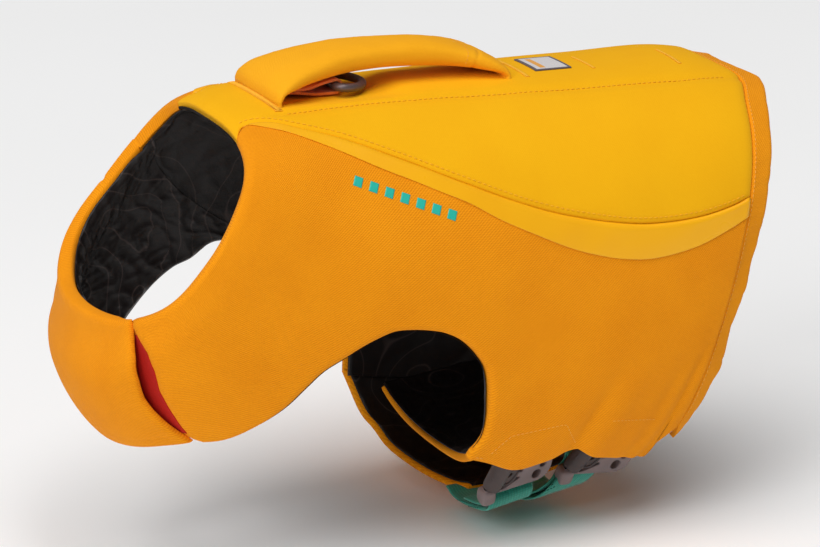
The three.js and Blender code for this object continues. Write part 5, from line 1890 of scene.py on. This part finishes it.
@dataclass
class Strap:
    """Flat webbing from under the right flap, doubled back behind its buckle."""

    name: str
    node: str
    x: float
    buckle_z: float
    shift: float
    width: float = 25.0
    web: float = 1.5

    def path(self) -> np.ndarray:
        """Middle line of the strap, with its tilt in degrees."""
        dz = self.buckle_z + 190
        x, dx = self.x, self.shift
        rows = []
        rows += [
            (x, 3, -201.0, 0), (x, 0, -201.6, 0), (x, -3, -202.8, 1), (x, -10, -203.2, 2), (x, -20, -202.0, 4),
            (x, -30, -199.8 + dz * 0.1, 7), (x + dx * 0.15, -38.5, -197.6 + dz * 0.3, 9),
            (x + dx * 0.3, -43.6, -195.0 + dz * 0.55, 10), (x + dx * 0.6, -44.2, -191.4 + dz * 0.8, 10),
            (x + dx * 0.9, -41.2, -188.0 + dz, 10),
            (x + dx, -43.3, -184.2 + dz, 10), (x + dx, -45.3, -180.2 + dz, 10), (x + dx, -44.9, -178.4 + dz, 10),
            (x + dx, -43.3, -178.0 + dz, 10), (x + dx, -42.6, -179.4 + dz, 10), (x + dx, -40.7, -183.3 + dz, 10),
            (x + dx * 0.9, -38.6, -187.0 + dz, 10), (x + dx * 0.6, -41.4, -190.6 + dz * 0.8, 10),
            (x + dx * 0.3, -40.9, -193.2 + dz * 0.55, 10), (x + dx * 0.15, -36.5, -195.3 + dz * 0.3, 9),
            (x, -29, -197.4 + dz * 0.1, 7), (x, -18, -199.4, 4),
        ]
        return resampled(line_through(rows)(np.linspace(0, len(rows) - 1, 400)), 0.9)

    def build(self, looks: Wardrobe) -> bpy.types.Object:
        """Makes the strap."""
        path = self.path()
        run = unit(np.gradient(path[:, :3] * np.array([0, 1, 1]), axis=0))
        a = np.radians(path[:, 3])
        wide = np.stack([np.cos(a), 0 * a, np.sin(a)], 1)
        flat = np.stack([0 * a, -run[:, 2], run[:, 1]], 1)
        w = np.linspace(-1, 1, 26)
        edge = np.sqrt(1 - np.clip((np.abs(w) - 0.94) / 0.06, 0, 0.98) ** 2)
        layers = []
        for sign in (1, -1):
            layers.append(path[:, None, :3] + wide[:, None] * (w * self.width / 2)[None, :, None]
                          + flat[:, None] * (sign * edge * self.web / 2)[None, :, None])
        length = np.concatenate([[0], np.cumsum(np.linalg.norm(np.diff(path[:, :3], axis=0), axis=1))])
        uv = np.stack(np.broadcast_arrays(length[:, None], (w * self.width / 2)[None, :]), -1)
        item = slab(self.name, layers[0], layers[1], uv)
        return dress(item, looks.teal, nodes=[self.node])


# Sewing


@dataclass
class Sewing:
    """Stitch lines, bar tacks and overlocked edges, laid on the finished cloth."""

    studio: Studio
    looks: Wardrobe

    def on_body(self, ground: Ground, u: np.ndarray, v: np.ndarray) -> tuple[np.ndarray, np.ndarray]:
        """Places of the body dropped on the cloth."""
        return ground.below(body(u, v), outward(u, v), 5)

    def inside_seam(self, rows: np.ndarray, inset: float, sign: int) -> tuple[np.ndarray, np.ndarray]:
        """Places a distance inside the back seam."""
        seam = line_through(SEAM)(rows)
        step = np.linalg.norm(body(seam[:, 0], seam[:, 1]) - body(seam[:, 0], seam[:, 1] - 1), axis=1)
        return seam[:, 0], (seam[:, 1] - inset / step) * sign

    def back(self, ground: Ground) -> bpy.types.Object:
        """Sews the back: beside the seam, along the spine channels and at the rear."""
        thread = Threads("back_stitching")
        for sign in (1, -1):
            u, v = self.inside_seam(np.linspace(0.9, 11.7, 200), 3.2, sign)
            thread.line(*self.on_body(ground, u, v))
            u = np.linspace(1.5, 7.5, 160)
            thread.line(*self.on_body(ground, u, channel_angle(u) * sign), lift=0.2)
        item = thread.make()
        return dress(item, self.looks.yellow_thread)

    def rear(self, ground: Ground) -> bpy.types.Object:
        """Sews the panels to the rear band."""
        thread = Threads("rear_stitching")
        v = np.linspace(-134, 134, 300)
        u = RearBand().seam(v)
        thread.line(*self.on_body(ground, u + 0.045, v), pitch=2.4, radius=0.26)
        item = thread.make()
        return dress(item, self.looks.orange_thread)

    def hem(self, ground: Ground) -> bpy.types.Object:
        """Sews the outlines of the strap tabs inside the hem."""
        thread = Threads("hem_stitching")
        outlines = (
            ((491, 454), (500, 446), (512, 436), (524, 433.5), (545, 429), (563, 425), (567, 425), (571, 434), (576, 444)),
            ((613, 421), (630, 420), (645, 419.5), (659.5, 419)),
            ((476, 457.5), (481, 458.2), (487, 458.8)),
        )
        for outline in outlines:
            way = resampled(np.asarray(outline, float), 3)
            points, ups = ground.seen(self.studio, way)
            thread.line(points, ups, pitch=2.3, radius=0.24)
        item = thread.make()
        return dress(item, self.looks.orange_thread)

    def handle(self, ground: Ground) -> bpy.types.Object:
        """Sews the seam near the handle's rear end."""
        thread = Threads("handle_stitching")
        seam = ((450, 38.6), (460, 42.5), (465.5, 47), (468.5, 53), (467, 61), (464.5, 65))
        points, ups = ground.seen(self.studio, resampled(np.asarray(seam, float), 2))
        thread.line(points, ups, pitch=1.9, radius=0.2)
        item = thread.make()
        return dress(item, self.looks.orange_thread)

    def overlock(self, ground: Ground) -> bpy.types.Object:
        """Makes the pale overlocked bands: round the handle's front end, and the bar tacks over the spine."""
        thread = Threads("pale_overlock")
        y = np.linspace(-30, 30, 60)
        x = -123.2 + 1.6 * (np.abs(y) / 30) ** 2.2
        flat = np.stack([x, y, 0 * y + 24], 1)
        up = np.broadcast_to(np.array([0, 0, 1.0]), flat.shape)
        points, ups = ground.below(flat, up, 20)
        thread.bars(points, ups, 4.2, 0.62, 0.3, lift=0.25)
        for x0, y0, y1, width in ((55, -16, 7, 1.8), (101, -21, 3, 2.2), (16.5, -19, 19, 2.4)):
            y = np.linspace(y0, y1, 24)
            flat = np.stack([0 * y + x0, y, 0 * y + 24], 1)
            points, ups = ground.below(flat, np.broadcast_to(np.array([0, 0, 1.0]), flat.shape), 20)
            thread.bars(points, ups, width, 0.6, 0.3)
        item = thread.make()
        return dress(item, self.looks.pale_thread)

    def neck(self) -> bpy.types.Object:
        """Makes the dark overlocked edge where the lining meets the front of the back."""
        thread = Threads("neck_overlock")
        v = np.linspace(-31, 31, 80)
        p = body(0 * v - 0.02, v) - outward(0 * v + 0.02, v) * 4.6
        up = unit(body(0 * v - 0.05, v) - body(0 * v + 0.1, v))
        thread.bars(p + up * 0.5, up, 1.9, 0.8, 0.36, lift=0.0, slant=0.35)
        item = thread.make()
        return dress(item, self.looks.dark_thread)

    def straps(self, ground: Ground) -> bpy.types.Object:
        """Sews the doubled ends of the straps."""
        thread = Threads("strap_stitching")
        for way in (((455, 499), (468, 503), (481, 506)), ((453, 501.5), (466, 505.5), (480, 508.5)),
                    ((534, 494), (545, 488.5), (556, 483)), ((537, 495.5), (548, 490), (559, 484.5))):
            points, ups = ground.seen(self.studio, resampled(np.asarray(way, float), 2))
            thread.line(points, ups, pitch=1.8, radius=0.24)
        item = thread.make()
        return dress(item, self.looks.teal_thread)

    def dashes(self, ground: Ground) -> bpy.types.Object:
        """Prints a plain row of teal dashes on the left side."""
        parts = []
        for i in range(7):
            t = i / 6
            x, y = 355 + 94 * t, 181 + 33 * t
            corners = ((x, y - 5.5), (x + 8.4, y - 2.6), (x + 6.4, y + 7.2), (x - 2.0, y + 4.2))
            a, b, c, d = (np.array(q) for q in corners)
            s = np.linspace(0, 1, 8)
            grid = [[a + (b - a) * f + (d - a + (c - b - d + a) * f) * g for g in s] for f in s]
            flat = [tuple(q) for row in grid for q in row]
            points, ups = ground.seen(self.studio, flat)
            if len(points) < 64:
                continue
            points, ups = points.reshape(8, 8, 3), ups.reshape(8, 8, 3)
            uv = np.stack(np.meshgrid(s * 4, s * 4, indexing="ij"), -1)
            parts.append(slab(f"dash_{i}", points + ups * 0.22, points - ups * 0.1, uv))
        item = joined(parts, "teal_dashes")
        return dress(item, self.looks.teal_print)


def main() -> None:
    """Builds the jacket piece by piece."""
    logging.basicConfig(level=logging.INFO, format="%(name)s: %(message)s")
    studio = Studio()
    studio.build()
    looks = Wardrobe.made()
    left, right, back, chest = LeftSide(), RightSide(), BackPanel(), ChestWrap()
    side_left = left.build(looks)
    side_right = right.build(looks)
    back_item = back.build(looks)
    chest.build(looks)
    band = RearBand().build(looks)
    RightFlap().build(looks)
    LeftFlap().build(looks)
    Lining("lining_left_cloth", "lining_left", left, spaced(0.4, 28.6, 150), 101, (0.33, 0.19), 0.031, True, False,
           turned=0.34).build(looks)
    Lining("lining_right_cloth", "lining_right", right, spaced(0.1, 23.0, 130), 111, (0.27, 0.17), 0.023, False, False).build(looks)
    Lining("lining_chest_cloth", "lining_chest", chest, spaced(-0.8, 9.7, 100), 121, (0.16, 0.08), 0.0084, True, False,
           wrinkle=2.3, lap_end=0.3).build(looks)
    BackLining().build(looks, back)
    SleeveShade().build(looks, Ground(side_left))
    Trim("trim_left_film", "trim_left", side_left.name, 1).build(looks, Ground(side_left))
    Trim("trim_right_film", "trim_right", side_right.name, -1).build(looks, Ground(side_right))
    on_back = Ground(back_item)
    handle = Handle().build(looks, on_back)
    dee = LeashRing()
    dee.ring(looks)
    dee.loop(looks)
    Label().build(looks, on_back)
    Buckle("buckle_front_moulded", "buckle_front", -2, -190).build(looks)
    Buckle("buckle_rear_moulded", "buckle_rear", 40, -183, tilt=-4.0, shift=(3.3, -9.3)).build(looks)
    straps = [Strap("strap_front_webbing", "strap_front", -4.5, -190, 2).build(looks),
              Strap("strap_rear_webbing", "strap_rear", 23.5, -183, 18, 28.0).build(looks)]
    sewing = Sewing(studio, looks)
    sewing.back(on_back)
    sewing.rear(Ground(band))
    sewing.hem(Ground(side_left))
    sewing.handle(Ground(handle))
    sewing.overlock(on_back)
    sewing.neck()
    sewing.straps(Ground(*straps))
    sewing.dashes(Ground(side_left))


if __name__ == "__main__":
    main()
